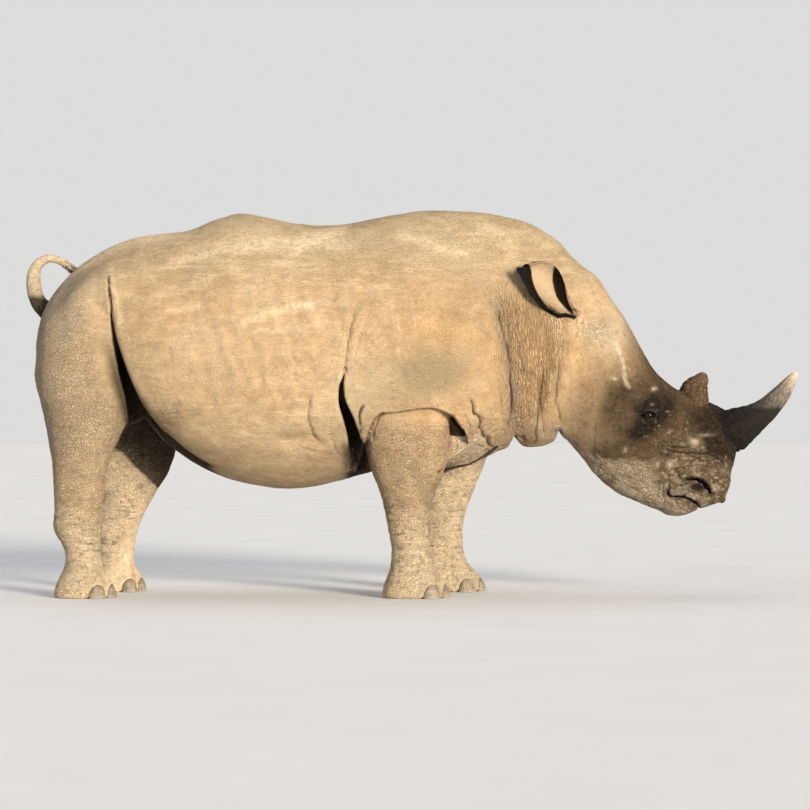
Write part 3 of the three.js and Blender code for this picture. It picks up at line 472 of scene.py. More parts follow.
def mesh_field(fn, xs, ys, zs, coarse=4, margin=0.03):
    nx, ny, nz = len(xs), len(ys), len(zs)
    cx, cy, cz = [np.append(np.arange(0, n - 1, coarse), n - 1) for n in (nx, ny, nz)]
    X, Y, Z = np.meshgrid(xs[cx], ys[cy], zs[cz], indexing="ij")

    def slab(i):
        return fn(X[i].ravel().astype(f32), Y[i].ravel().astype(f32), Z[i].ravel().astype(f32)).reshape(Y[i].shape)
    with ThreadPoolExecutor(4) as pool:
        C = np.stack(list(pool.map(slab, range(len(cx)))))
    near = np.abs(C) < margin
    cell = np.zeros(tuple(n - 1 for n in C.shape), bool)
    pos = C > 0
    for a in (0, 1):
        for b in (0, 1):
            for c in (0, 1):
                s = (slice(a, a + cell.shape[0]), slice(b, b + cell.shape[1]), slice(c, c + cell.shape[2]))
                cell |= near[s] | (pos[s] != pos[:-1, :-1, :-1])
    grow = cell.copy()
    for ax in range(3):
        g = grow.copy()
        g[tuple(slice(1, None) if k == ax else slice(None) for k in range(3))] |= grow[tuple(slice(None, -1) if k == ax else slice(None) for k in range(3))]
        g[tuple(slice(None, -1) if k == ax else slice(None) for k in range(3))] |= grow[tuple(slice(1, None) if k == ax else slice(None) for k in range(3))]
        grow = g
    A = np.empty((nx, ny, nz), f32)
    # far from the surface the nearest coarse value will do
    ix = np.minimum(np.round(np.arange(nx) / coarse).astype(int), len(cx) - 1)
    iy = np.minimum(np.round(np.arange(ny) / coarse).astype(int), len(cy) - 1)
    iz = np.minimum(np.round(np.arange(nz) / coarse).astype(int), len(cz) - 1)
    A[:] = C[np.ix_(ix, iy, iz)]
    count = [0]

    def fill(i):
        a, b = cx[i], cx[i + 1] + 1
        cells = np.argwhere(grow[i])
        if not len(cells):
            return
        mask = np.zeros((ny, nz), bool)
        for j, k in cells:
            mask[cy[j]:cy[j + 1] + 1, cz[k]:cz[k + 1] + 1] = True
        jj, kk = np.nonzero(mask)
        last = b if i == len(cx) - 2 else b - 1
        m = last - a
        XX = np.repeat(xs[a:last], len(jj)).astype(f32)
        YY = np.tile(ys[jj], m).astype(f32)
        ZZ = np.tile(zs[kk], m).astype(f32)
        v = fn(XX, YY, ZZ).reshape(m, len(jj))
        count[0] += v.size
        for q in range(m):
            A[a + q, jj, kk] = v[q]
    with ThreadPoolExecutor(4) as pool:
        list(pool.map(fill, range(len(cx) - 1)))
    log("field sampled", (nx, ny, nz), "fine points", count[0])
    np.clip(A, -0.05, 0.05, out=A)
    g = vdb.FloatGrid(0.05)
    g.copyFromArray(A, tolerance=0)
    pts, quads = g.convertToQuads(isovalue=0)
    world = np.stack([np.interp(pts[:, i], np.arange(len(l)), l) for i, l in enumerate((xs, ys, zs))], 1)
    return world, quads.copy()


def new_mesh(name, pts, faces, smooth=True):
    """A mesh from numpy arrays: faces is (n, 4) or (n, 3)."""
    me = bpy.data.meshes.new(name)
    n, k = faces.shape
    me.vertices.add(len(pts))
    me.vertices.foreach_set("co", np.ascontiguousarray(pts, f32).ravel())
    me.loops.add(n * k)
    me.loops.foreach_set("vertex_index", np.ascontiguousarray(faces, np.int32).ravel())
    me.polygons.add(n)
    me.polygons.foreach_set("loop_start", np.arange(0, n * k, k, dtype=np.int32))
    me.polygons.foreach_set("loop_total", np.full(n, k, np.int32))
    me.update(calc_edges=True)
    me.validate()
    if smooth:
        me.shade_smooth()
    ob = bpy.data.objects.new(name, me)
    bpy.context.scene.collection.objects.link(ob)
    return ob


H = 1.0
XS = ruler([(-1.83, 0.0085 * H), (0.44, 0.0056 * H), (1.02, 0.0031 * H), (1.15, 0.0038 * H), (1.40, 0.0050 * H), (1.55,)])
YP = ruler([(0.0, 0.0075 * H), (0.145, 0.0040 * H), (0.235, 0.0058 * H), (0.43, 0.0080 * H), (0.63,)])
YS = np.concatenate([-YP[::-1], YP[1:]])
ZS = ruler([(-0.03, 0.006 * H), (0.10, 0.008 * H), (0.38, 0.0042 * H), (0.62, 0.0062 * H), (0.775, 0.0032 * H), (0.885, 0.0075 * H),
            (1.18, 0.0056 * H), (1.57, 0.008 * H), (1.83,)])
pts, quads = mesh_field(skin, XS, YS, ZS)
log("skin mesh", len(pts), "points", len(quads), "quads")


# ---------------------------------------------------------------- noise

def hash3(i, j, k, seed):
    h = (i.astype(np.uint32) * np.uint32(374761393) + j.astype(np.uint32) * np.uint32(668265263)
         + k.astype(np.uint32) * np.uint32(2246822519) + np.uint32(seed * 3266489917 & 0xFFFFFFFF))
    h = (h ^ (h >> np.uint32(13))) * np.uint32(1274126177)
    h = (h ^ (h >> np.uint32(16))) * np.uint32(2654435761)
    return ((h ^ (h >> np.uint32(15))) & np.uint32(0xFFFFFF)).astype(f32) / f32(0xFFFFFF)


def noise(x, y, z, seed=0):
    """Smooth value noise, -1 to 1, one feature to the unit."""
    xi, yi, zi = np.floor(x), np.floor(y), np.floor(z)
    u, v, w = x - xi, y - yi, z - zi
    u, v, w = [t * t * t * (t * (6 * t - 15) + 10) for t in (u, v, w)]
    i, j, k = xi.astype(np.int64), yi.astype(np.int64), zi.astype(np.int64)
    out = 0
    for a in (0, 1):
        wa = u if a else 1 - u
        for b in (0, 1):
            wb = wa * (v if b else 1 - v)
            for c in (0, 1):
                out = out + wb * (w if c else 1 - w) * hash3(i + a, j + b, k + c, seed)
    return (2 * out - 1).astype(f32)


def fractal(x, y, z, seed=0, octaves=3, gain=0.5):
    out, amp, tot = 0, 1.0, 0.0
    for o in range(octaves):
        out = out + amp * noise(x * 2**o + 17 * o, y * 2**o, z * 2**o, seed + o)
        tot += amp
        amp *= gain
    return out / tot


def cells(x, y, z, seed=0):
    """Distance to the edge between cells of a jittered grid, in cell units, 0 on the crack."""
    xi, yi, zi = [np.floor(t).astype(np.int64) for t in (x, y, z)]
    d1 = np.full(x.shape, 9, f32)
    d2 = np.full(x.shape, 9, f32)
    for a in (-1, 0, 1):
        for b in (-1, 0, 1):
            for c in (-1, 0, 1):
                i, j, k = xi + a, yi + b, zi + c
                px = i + 0.15 + 0.7 * hash3(i, j, k, seed) - x
                py = j + 0.15 + 0.7 * hash3(i, j, k, seed + 7) - y
                pz = k + 0.15 + 0.7 * hash3(i, j, k, seed + 13) - z
                d = (px * px + py * py + pz * pz).astype(f32)
                d2 = np.minimum(d2, np.maximum(d1, d))
                d1 = np.minimum(d1, d)
    return np.sqrt(d2) - np.sqrt(d1)


def parts(fn, *arrays):
    """Runs a function of equal arrays in pieces, on all cores."""
    n = len(arrays[0])
    cuts = np.linspace(0, n, 17).astype(int)
    with ThreadPoolExecutor(4) as pool:
        out = list(pool.map(lambda ab: fn(*[a[ab[0]:ab[1]] for a in arrays]), zip(cuts[:-1], cuts[1:])))
    if isinstance(out[0], tuple):
        return tuple(np.concatenate([o[i] for o in out]) for i in range(len(out[0])))
    return np.concatenate(out)


def normals_of(p, q):
    a, b = p[q[:, 2]] - p[q[:, 0]], p[q[:, 3]] - p[q[:, 1]]
    fn = np.cross(a, b)
    n = np.zeros_like(p)
    for c in range(4):
        for ax in range(3):
            n[:, ax] += np.bincount(q[:, c], fn[:, ax], len(p))
    return n / np.maximum(np.linalg.norm(n, axis=1, keepdims=True), 1e-12)


# ---------------------------------------------------------------- materials

def new_material(name):
    m = bpy.data.materials.new(name)
    m.use_nodes = True
    nt = m.node_tree
    b = nt.nodes["Principled BSDF"]
    return m, nt, b


class Graph:
    """Short ways to add shader nodes."""

    def __init__(self, nt):
        self.nt = nt

    def node(self, kind, **kw):
        n = self.nt.nodes.new(kind)
        for k, v in kw.items():
            setattr(n, k, v)
        return n

    def link(self, a, b):
        self.nt.links.new(a, b)

    def put(self, socket, v):
        if hasattr(v, "links"):
            self.link(v, socket)
        elif v is not None:
            socket.default_value = v

    def position(self):
        return self.node("ShaderNodeTexCoord").outputs["Object"]

    def attribute(self, name, out="Fac"):
        n = self.node("ShaderNodeAttribute", attribute_name=name)
        return n.outputs[out]

    def channels(self, name):
        n = self.node("ShaderNodeAttribute", attribute_name=name)
        s = self.node("ShaderNodeSeparateColor")
        self.link(n.outputs["Color"], s.inputs[0])
        return s.outputs[0], s.outputs[1], s.outputs[2]

    def mapped(self, v, scale=(1, 1, 1), rotation=(0, 0, 0), move=(0, 0, 0)):
        n = self.node("ShaderNodeMapping")
        self.link(v, n.inputs["Vector"])
        n.inputs["Scale"].default_value = scale
        n.inputs["Rotation"].default_value = rotation
        n.inputs["Location"].default_value = move
        return n.outputs[0]

    def noise(self, v, scale, detail=3.0, rough=0.5, warp=0.0):
        n = self.node("ShaderNodeTexNoise")
        self.link(v, n.inputs["Vector"])
        n.inputs["Scale"].default_value = scale
        n.inputs["Detail"].default_value = detail
        n.inputs["Roughness"].default_value = rough
        n.inputs["Distortion"].default_value = warp
        return n.outputs["Fac"]

    def noise_vector(self, v, scale, detail=2.0):
        n = self.node("ShaderNodeTexNoise")
        self.link(v, n.inputs["Vector"])
        n.inputs["Scale"].default_value = scale
        n.inputs["Detail"].default_value = detail
        return n.outputs["Color"]

    def voronoi(self, v, scale, feature="DISTANCE_TO_EDGE", out="Distance", randomness=1.0):
        n = self.node("ShaderNodeTexVoronoi", feature=feature)
        self.link(v, n.inputs["Vector"])
        n.inputs["Scale"].default_value = scale
        n.inputs["Randomness"].default_value = randomness
        return n.outputs[out]

    def math(self, op, a, b=None, c=None, clamp=False):
        n = self.node("ShaderNodeMath", operation=op, use_clamp=clamp)
        for i, v in enumerate((a, b, c)):
            if v is not None:
                self.put(n.inputs[i], v)
        return n.outputs[0]

    def vmath(self, op, a, b=None, scale=None):
        n = self.node("ShaderNodeVectorMath", operation=op)
        self.put(n.inputs[0], a)
        if b is not None:
            self.put(n.inputs[1], b)
        if scale is not None:
            self.put(n.inputs["Scale"], scale)
        return n.outputs[0]

    def range(self, v, a, b, c=0.0, d=1.0, smooth=True):
        n = self.node("ShaderNodeMapRange", interpolation_type="SMOOTHSTEP" if smooth else "LINEAR")
        self.put(n.inputs["Value"], v)
        for k, q in zip(("From Min", "From Max", "To Min", "To Max"), (a, b, c, d)):
            self.put(n.inputs[k], q)
        return n.outputs[0]

    def mix(self, fac, a, b, blend="MIX"):
        n = self.node("ShaderNodeMix", data_type="RGBA", blend_type=blend, clamp_factor=True)
        self.put(n.inputs[0], fac)
        for s, v in ((n.inputs[6], a), (n.inputs[7], b)):
            if isinstance(v, tuple) and len(v) == 3:
                v = (*v, 1)
            self.put(s, v)
        return n.outputs[2]

    def mixf(self, fac, a, b):
        n = self.node("ShaderNodeMix", data_type="FLOAT", clamp_factor=True)
        self.put(n.inputs[0], fac)
        self.put(n.inputs[2], a)
        self.put(n.inputs[3], b)
        return n.outputs[0]

    def bump(self, height, distance, strength=1.0, normal=None):
        n = self.node("ShaderNodeBump")
        n.inputs["Strength"].default_value = strength
        n.inputs["Distance"].default_value = distance
        self.link(height, n.inputs["Height"])
        if normal is not None:
            self.link(normal, n.inputs["Normal"])
        return n.outputs[0]


# ---------------------------------------------------------------- folds and wrinkles of the skin

# nails: middle of each on the foot's outline, the way it faces, half width
NAILS = []
for foot, table, s_ in (("front_left", FORE_FAR, 1), ("front_right", FORE_NEAR, -1), ("hind_left", HIND_FAR, 1), ("hind_right", HIND_NEAR, -1)):
    for which, k_, wide_ in (("inner", -s_, 0.040), ("middle", 0, 0.048), ("outer", s_, 0.040)):
        NAILS.append((foot + "_" + which, table, s_, k_ * 0.95, wide_))


def sole(table, s, w, z):
    """A point of a foot's outline at height z, in the direction w from the foot's middle."""
    front, rear, side, half, n = [float(c(np.array([z]))[0]) for c in table]
    c, d = math.cos(w), math.sin(w)
    toe = 0.0085 * math.cos(w * 2 * math.pi / 0.95) * (1 - float(ease(0.07, 0.15, z)))
    r = (abs(2 * c / (front - rear))**n + abs(d / half)**n)**(-1 / n) + toe
    return (front + rear) / 2 + r * c, s * side + r * d


NAIL_PLACES = [(*sole(t, s_, w, 0.03), 0.03, w, wide_) for _, t, s_, w, wide_ in NAILS]

# name, plane, half width, depth, lip, both sides, points
FOLDS = [
    ("neck", -0.33, 0.0052, 0.0060, 0.5, 1, [(497, 300), (500.5, 315), (504.5, 330), (510, 350), (513.5, 370), (512.5, 390), (514, 408), (516, 424)]),
    ("neck2", -0.28, 0.0048, 0.0042, 0.5, 1, [(541, 352), (543, 378), (541, 400), (544, 424), (547, 440)]),
    ("neck3", -0.26, 0.0050, 0.0050, 0.5, 1, [(556, 350), (559, 372), (557, 396), (560, 416), (562, 428)]),
    ("neck4", -0.30, 0.0046, 0.0034, 0.5, 1, [(527, 372), (526, 392), (529, 410), (529, 430)]),
    ("neck5", -0.24, 0.0042, 0.0024, 0.5, 1, [(569, 352), (571, 374), (570, 396), (573, 412)]),
    ("poll", -0.22, 0.0050, 0.0050, 0.4, 1, [(577, 317), (575, 324), (576.5, 333), (574, 341)]),
    ("arm", -0.47, 0.0058, 0.0045, 0.5, 1, [(358, 308), (353, 322), (349, 340), (346.5, 356), (345.5, 374)]),
    ("arm4", -0.46, 0.0038, 0.0022, 0.5, 1, [(353, 300), (350, 316), (346, 330), (343, 344), (342, 358)]),
    ("arm5", -0.46, 0.0038, 0.0022, 0.5, 1, [(363, 312), (358, 326), (353, 340), (349, 354), (348, 366)]),
    ("arm6", -0.46, 0.0036, 0.0018, 0.5, 1, [(372, 330), (366, 342), (360, 356), (356, 368)]),
    ("arm2", -0.46, 0.0050, 0.0032, 0.5, 1, [(367, 322), (361, 334), (357, 348), (354, 362)]),
    ("arm3", -0.49, 0.0050, 0.0030, 0.5, 1, [(344, 318), (341, 334), (339, 350), (338, 366)]),
    ("elbow", -0.45, 0.0060, 0.008, 0.5, 1, [(364, 404), (361.5, 412), (361, 424), (362, 438)]),
    ("elbow2", -0.45, 0.0050, 0.004, 0.5, 1, [(374, 416), (372, 428), (374, 444)]),
    ("belly", -0.52, 0.0050, 0.0045, 0.5, 1, [(314, 392), (309.5, 404), (309, 416), (312, 432), (321, 447)]),
    ("belly2", -0.52, 0.0050, 0.0025, 0.5, 1, [(334, 404), (331, 422), (334, 444), (341, 462)]),
    ("belly3", -0.50, 0.0075, 0.0026, 0.5, 1, [(296, 446), (306, 450.5), (318, 453.5), (334, 456)]),
    ("flank", -0.42, 0.0060, 0.009, 0.5, 1, [(108.6, 272), (109.2, 286), (110.6, 302), (112.6, 320), (116, 338)]),
    ("skirt", -0.35, 0.0055, 0.006, 0.4, 1, [(449, 413), (456, 421), (461, 430), (468, 438)]),
    ("skirt2", -0.47, 0.0055, 0.006, 0.4, 1, [(386, 413), (379, 417), (375, 427), (374, 440)]),
    ("chest", -0.30, 0.0085, 0.014, 0.5, 1, [(466, 398), (472, 404), (475, 413), (482, 421), (481.5, 430), (487, 438), (491, 447), (497, 452)]),
    ("chest2", -0.30, 0.0048, 0.004, 0.5, 1, [(464, 410), (466, 418), (471, 424), (472, 432), (477, 437)]),
    ("chest3", -0.24, 0.0046, 0.0030, 0.5, 1, [(459, 437), (468, 443), (478, 445), (486, 450)]),
    ("flap", -0.22, 0.0085, 0.012, 0.3, 1, [(436, 474), (444, 470.5), (453, 466), (463, 465), (475, 460.5), (484, 454.5), (492, 447)]),
    ("muzzle", -0.13, 0.0036, 0.0065, 0.6, 1, [(657, 444.5), (670, 450.5), (681, 452.5), (706, 453.5), (716, 457.5), (722, 462), (727, 470)]),
    ("muzzle2", -0.14, 0.0032, 0.0036, 0.6, 1, [(652, 441), (671, 447), (685, 446.5), (699, 447)]),
    ("muzzle3", -0.14, 0.0034, 0.0034, 0.6, 1, [(676, 457), (690, 456.5), (702, 458)]),
    ("nose", -0.14, 0.0040, 0.006, 0.6, 1, [(678.5, 486), (683, 484.5), (690, 483)]),
    ("lip", -0.13, 0.0042, 0.009, 0.6, 1, [(668.5, 481), (667, 487), (668, 493), (672, 500)]),
    ("lip2", -0.13, 0.0036, 0.0030, 0.6, 1, [(663, 480), (661.5, 488), (663, 497), (668, 506)]),
    ("lip3", -0.12, 0.0036, 0.0035, 0.6, 1, [(674, 499), (679, 507), (687, 512)]),
    ("nose2", -0.14, 0.0034, 0.0036, 0.6, 1, [(672, 470), (681, 467), (690, 469), (699, 468)]),
    ("nose3", -0.14, 0.0034, 0.0034, 0.6, 1, [(676, 476), (684, 474), (692, 474.5)]),
    ("nose4", -0.12, 0.0034, 0.0034, 0.6, 1, [(704, 474), (711, 477), (716, 484), (717, 491)]),
    ("rim", -0.13, 0.0036, 0.0050, 0.6, 1, [(686, 487), (691, 491), (698, 493), (705, 496)]),
    ("lip4", -0.13, 0.0034, 0.0034, 0.6, 1, [(677, 505), (684, 510), (692, 516)]),
    ("lip5", -0.13, 0.0032, 0.0028, 0.6, 1, [(659, 478), (657, 488), (659, 499)]),
    ("jaw", -0.19, 0.0034, 0.0030, 0.6, 1, [(612, 486), (626, 496), (642, 503), (657, 509)]),
    ("jaw2", -0.20, 0.0034, 0.0028, 0.6, 1, [(600, 470), (614, 479), (630, 487), (645, 494)]),
    ("jaw3", -0.20, 0.0032, 0.0022, 0.6, 1, [(622, 472), (636, 480), (650, 487)]),
    ("cheek", -0.22, 0.0050, 0.0022, 0.5, 1, [(640, 446), (650, 452), (659, 462), (663, 473)]),
    ("lid", -0.19, 0.0032, 0.0042, 0.6, 1, [(638, 424.5), (644, 425.8), (650, 425.8), (656, 424)]),
    ("lid2", -0.19, 0.0032, 0.0040, 0.6, 1, [(639.5, 430.5), (645, 431.8), (651, 431.2), (655, 430)]),
    ("lid3", -0.19, 0.0030, 0.0025, 0.6, 1, [(641, 436.5), (647, 437.5), (653, 436)]),
    ("lid4", -0.18, 0.0030, 0.0030, 0.6, 1, [(657, 418), (661, 416), (665, 416.5)]),
    ("brow", -0.18, 0.0032, 0.0022, 0.6, 1, [(640, 404), (646, 400.5), (653, 399.5), (661, 403), (667, 410)]),
    ("brow3", -0.15, 0.0045, 0.0018, 0.6, 1, [(662, 392), (670, 398), (675, 408), (676, 418)]),
]
# broad valleys of the side view: plane, half width, depth, points
VALLEYS = [
    (-0.33, 0.034, 0.020, [(492, 282), (498, 305), (505, 332), (511, 354), (514, 374), (512.5, 398), (516, 420), (518, 436)]),
    (-0.28, 0.016, 0.006, [(541, 352), (543, 378), (541, 400), (544, 424), (547, 440)]),
    (-0.26, 0.018, 0.008, [(556, 346), (559, 372), (557, 396), (560, 416), (562, 432)]),
    (-0.47, 0.018, 0.007, [(360, 300), (353, 322), (348, 342), (345.5, 362), (345.5, 376)]),
    (-0.52, 0.020, 0.006, [(314, 388), (309, 404), (309, 420), (314, 438), (326, 450)]),
]
VALLEYS += [
    (-0.15, 0.020, 0.013, [(52, 293), (66, 284), (80, 275), (100, 262), (120, 253.5), (142, 249)]),
    (-0.20, 0.030, -0.006, [(62, 306), (82, 290), (101, 277), (116, 268)]),
]
VALLEYS = [(w, d, along([at(u, v, y) for u, v in p], 4)) for y, w, d, p in VALLEYS]

# broad hollows and swellings: place, plane, spread across and up, amount
DENTS = [
    (294, 441, -0.48, 0.090, 0.035, -0.016), (225, 447, -0.45, 0.100, 0.035, 0.010), (330, 300, -0.48, 0.05, 0.16, -0.012),
    (378, 345, -0.47, 0.07, 0.16, 0.010), (440, 330, -0.42, 0.05, 0.20, -0.008), (470, 300, -0.36, 0.06, 0.14, 0.008),
    (160, 300, -0.44, 0.09, 0.16, 0.012), (80, 345, -0.42, 0.08, 0.16, 0.010), (60, 300, -0.36, 0.05, 0.12, -0.008),
    (250, 300, -0.5, 0.14, 0.12, 0.006), (200, 380, -0.5, 0.10, 0.08, -0.008), (415, 395, -0.45, 0.10, 0.05, 0.008),
    (405, 470, -0.42, 0.05, 0.10, 0.008), (90, 430, -0.42, 0.06, 0.07, -0.006),
]
DENTS = [(*at(u, v, y), sx, sz, k) for u, v, y, sx, sz, k in DENTS]
FOLDS = [(n, w, d, 0.22 * lip, both, along([at(u, v, y) for u, v in p], 4)) for n, y, w, d, lip, both, p in FOLDS]


# where the pale hide of the lower jaw and muzzle ends: angle and radius about the head's hinge
PALE_JAW = curve([(40, 1.55), (47, 1.525), (52, 1.465), (56.5, 1.415), (58.5, 1.355), (63, 1.30), (68, 1.25), (73, 1.275), (78, 1.36)])


def region(v, a, b, soft):
    """1 between a and b, falling to 0 over soft."""
    return ease(a - soft, a + soft, v) * (1 - ease(b - soft, b + soft, v))


def zones(x, y, z, nx, ny, nz):
    """Where on the animal a point is, as weights."""
    ay = np.abs(y)
    wob = 0.03 * noise(x * 7, y * 7, z * 7, 91)
    a = np.degrees(np.arctan2(z - HINGE[1], x - HINGE[0]))
    headw = ease(0.66, 0.86, x + 0.30 * (1.2 - z) + wob)
    neck = region(x + 0.12 * (z - 1.1) + wob, 0.38, 0.72, 0.07) * ease(1.55, 1.25, z) * (1 - headw)
    leg_f = region(x, -0.32, 0.48, 0.06) * ease(0.86, 0.74, z + wob)
    leg_h = (1 - ease(-1.22, -1.08, x - 0.5 * (z - 0.6))) * ease(0.95, 0.78, z + wob)
    legs = np.maximum(leg_f, leg_h)
    thigh = (1 - ease(-1.42, -1.30, x + 0.25 * (z - 1.0) + wob)) * region(z, 0.72, 1.45, 0.12)
    back = ease(1.30, 1.62, z + wob) * (1 - headw)
    belly = ease(0.90, 0.62, z + wob) * region(x, -1.15, -0.25, 0.1) * (1 - legs)
    jaw = headw * ease(70.5, 67.0, a) * ease(0, 1, 0 * x + 1)
    return dict(head=headw, neck=neck, legs=legs, thigh=thigh, back=back, belly=belly, angle=a, ay=ay)


def groove(n, w):
    """1 along the lines where a noise crosses zero."""
    return np.exp(-(n / w)**2)


def relief(x, y, z, nx, ny, nz):
    """How far the skin stands out along its normal, and how much of a point is crease."""
    q = zones(x, y, z, nx, ny, nz)
    h = np.zeros(x.shape, f32)
    crease = np.zeros(x.shape, f32)
    side = ease(0.10, 0.45, np.abs(ny))
    jig = noise(x * 16, y * 16, z * 16, 5)
    jig2 = noise(x * 45, y * 45, z * 45, 6)
    for name, w, d, lip, both, path in FOLDS:
        m = ((x > path[:, 0].min() - 0.05) & (x < path[:, 0].max() + 0.05) & (z > path[:, 1].min() - 0.05)
             & (z < path[:, 1].max() + 0.05) & (side > 0.01))
        if not m.any():
            continue
        px = x[m] + 0.007 * jig[m] + 0.0030 * jig2[m]
        pz = z[m] + 0.0040 * jig2[m]
        dist, t = sheet_distance(px, pz, path)
        s = side[m] * ease(0.0, 0.16, t) * ease(0.0, 0.16, 1 - t)
        g = np.exp(-(dist / w)**2)
        h[m] += s * d * (lip * np.exp(-((dist - 2.1 * w) / (1.1 * w))**2) - g)
        # how dark each fold's crease is painted: painted shade in the fold
        crease_shade = {"arm": 0.42, "arm2": 0.30, "arm3": 0.26, "arm4": 0.5, "arm5": 0.5, "arm6": 0.5, "belly": 0.45, "belly2": 0.25, "belly3": 0.30, "elbow2": 0.45, "skirt2": 0.35,
                "chest2": 0.40, "neck": 0.62, "neck2": 0.75, "neck3": 0.75, "neck5": 0.5, "poll": 0.6, "chest": 0.75}.get(name, 1.0)
        crease_shade = crease_shade * (0.70 + 0.45 * jig2[m])
        crease[m] = np.maximum(crease[m], s * min(1.0, 0.15 + d / 0.009) * crease_shade * np.exp(-(dist / (1.1 * w))**2))
    for w, d, path in VALLEYS:
        m = ((x > path[:, 0].min() - 0.10) & (x < path[:, 0].max() + 0.10) & (z > path[:, 1].min() - 0.10)
             & (z < path[:, 1].max() + 0.10) & (side > 0.01))
        if m.any():
            dist, t = sheet_distance(x[m], z[m], path)
            h[m] -= side[m] * d * np.exp(-(dist / w)**2) * ease(0.0, 0.25, t) * ease(0.0, 0.12, 1 - t)
    for cx, cz, sx, sz, k in DENTS:
        h += side * k * np.exp(-(((x - cx) / sx)**2 + ((z - cz) / sz)**2))
    flat = ease(0.012, 0.12, z)
    head, neck, legs, body = q["head"], q["neck"], q["legs"], 1 - q["head"]
    # broad unevenness of muscle and hide
    h += flat * body * (0.0050 * fractal(x * 4, y * 4, z * 4, 11, 2) + 0.0022 * fractal(x * 11, y * 11, z * 11, 21, 2))
    h += flat * body * 0.0010 * fractal(x * 30, y * 30, z * 34, 22, 2)
    # ribs, faint
    rib = region(x, -1.0, -0.30, 0.08) * region(z, 0.85, 1.45, 0.12)
    h += rib * 0.0018 * np.sin((x + 0.25 * (z - 1.1)) * 2 * np.pi / 0.085 + 2 * jig)
    # neck: upright creases of uneven length, deeper toward the throat
    wx = x + 0.06 * (z - 1.1) + 0.006 * jig
    n = neck * side
    low = ease(1.25, 0.85, z)
    g1 = groove(noise(wx * 19, y * 6, z * 3.4, 31), 0.24)
    g2 = groove(noise(wx * 34, y * 8, z * 6, 32), 0.26)
    h -= n * ((0.0025 + 0.0045 * low) * g1 + 0.0018 * g2)
    crease = np.maximum(crease, n * np.maximum((0.45 + 0.35 * low) * g1, 0.25 * g2))
    h += n * 0.0016 * fractal(x * 42, y * 42, z * 42, 35, 2)
    # knees, hocks and ankles: level creases, deeper in the bend
    lx, lz = x * 9, z + 0.006 * jig
    g3 = groove(noise(lx, y * 9, lz * 30, 33), 0.24)
    knee = legs * (0.35 + 0.65 * region(z, 0.16, 0.42, 0.06)) * flat
    ankle = region(z, 0.10, 0.46, 0.05)
    h -= knee * 0.0036 * g3
    g4 = groove(noise(lx * 1.8, y * 16, lz * 52, 34), 0.25)
    h -= legs * flat * (0.0012 + 0.0012 * ankle) * g4
    crease = np.maximum(crease, legs * flat * np.maximum((0.35 + 0.15 * ankle) * g3, (0.15 + 0.22 * ankle) * g4))
    # creases that part the thick hide of rump, limbs and chest into plates
    g5 = groove(noise(x * 13, y * 13, z * 15 + 0.3 * jig, 36), 0.13)
    g6 = groove(noise(x * 24, y * 24, z * 26, 37), 0.16)
    plate = np.maximum(q["thigh"] * 0.75, legs * 0.6) * flat
    chest = region(x, 0.18, 0.50, 0.06) * ease(0.92, 0.82, z) * body
    plate = np.maximum(plate, chest)
    h -= plate * (0.0016 * g5 + 0.0012 * g6) + 0.0022 * chest * g6
    crease = np.maximum(crease, plate * np.maximum(0.24 * g5, 0.18 * g6))
    g7 = groove(noise(x * 9, y * 9, z * 12 + 0.3 * jig, 38), 0.10)
    wide = (1 - plate) * body * flat * ease(-0.35, 0.25, noise(x * 3, y * 3, z * 3, 44))
    h -= wide * (0.0004 * g7 + 0.0005 * g6)
    crease = np.maximum(crease, wide * np.maximum(0.05 * g7, 0.06 * g6))
    # face: pores and fine creases, small plates on jaw and lips
    rr = np.hypot(x - HINGE[0], z - HINGE[1])
    h += head * (0.0010 * fractal(x * 34, y * 34, z * 34, 45, 2) + 0.0010 * fractal(x * 95, y * 95, z * 95, 46, 2))
    jaw = head * ease(70.5, 67.5, q["angle"] + 1.5 * jig)
    under = head * ease(-0.30, -0.62, nz) * 0.5
    jw = np.maximum(jaw * ease(1.34, 1.24, rr), under)
    c3 = cells(x * 58 + 0.9 * jig2, y * 58, z * 70 + 0.9 * jig2, 8)
    h += jw * 0.0014 * (np.clip(c3 / 0.25, 0, 1) - 0.7)
    crease = np.maximum(crease, jw * 0.22 * (1 - np.clip(c3 / 0.2, 0, 1)))
    g9 = groove(noise(x * 16 + z * 10, y * 16, z * 34 - x * 14, 48), 0.17)
    h -= jw * 0.0018 * g9
    crease = np.maximum(crease, jw * 0.55 * g9)
    muz = head * region(rr, 1.12, 1.53, 0.04) * ease(64.5, 62.0, q["angle"]) * (1 - jw)
    g8 = groove(noise(x * 20, y * 20, z * 62, 47), 0.20)
    g10 = groove(noise(x * 30 + z * 14, y * 30, z * 40, 49), 0.16)
    h -= muz * (0.0018 * g8 + 0.0015 * g10)
    crease = np.maximum(crease, muz * np.maximum(0.62 * g8, 0.52 * g10) * (0.6 + 0.5 * jig2))
    # rough skin round the feet of the horns
    for hx, hz, r0, r1 in ((1.462, 0.712, 0.105, 0.155), (1.316, 0.90, 0.075, 0.125)):
        dd = np.sqrt((x - hx)**2 + y * y + (z - hz)**2)
        ring = ease(r1, r0, dd)
        h += ring * (0.004 + 0.003 * noise(x * 60, y * 60, z * 60, 61))
    # cuticles over the nails
    for fx, fy, fz, turn, wide_ in NAIL_PLACES:
        m = (np.abs(x - fx) < 0.08) & (np.abs(y - fy) < 0.08) & (z < 0.12)
        if m.any():
            ac = -(x[m] - fx) * math.sin(turn) + (y[m] - fy) * math.cos(turn)
            e = np.sqrt((ac / (wide_ + 0.008))**2 + (np.maximum(z[m], 0) / 0.064)**2)
            h[m] += 0.0040 * np.exp(-((e - 1.08) / 0.10)**2) * ease(0.010, 0.025, z[m]) - 0.007 * ease(1.0, 0.88, e)
    return h.astype(f32), crease.astype(f32)


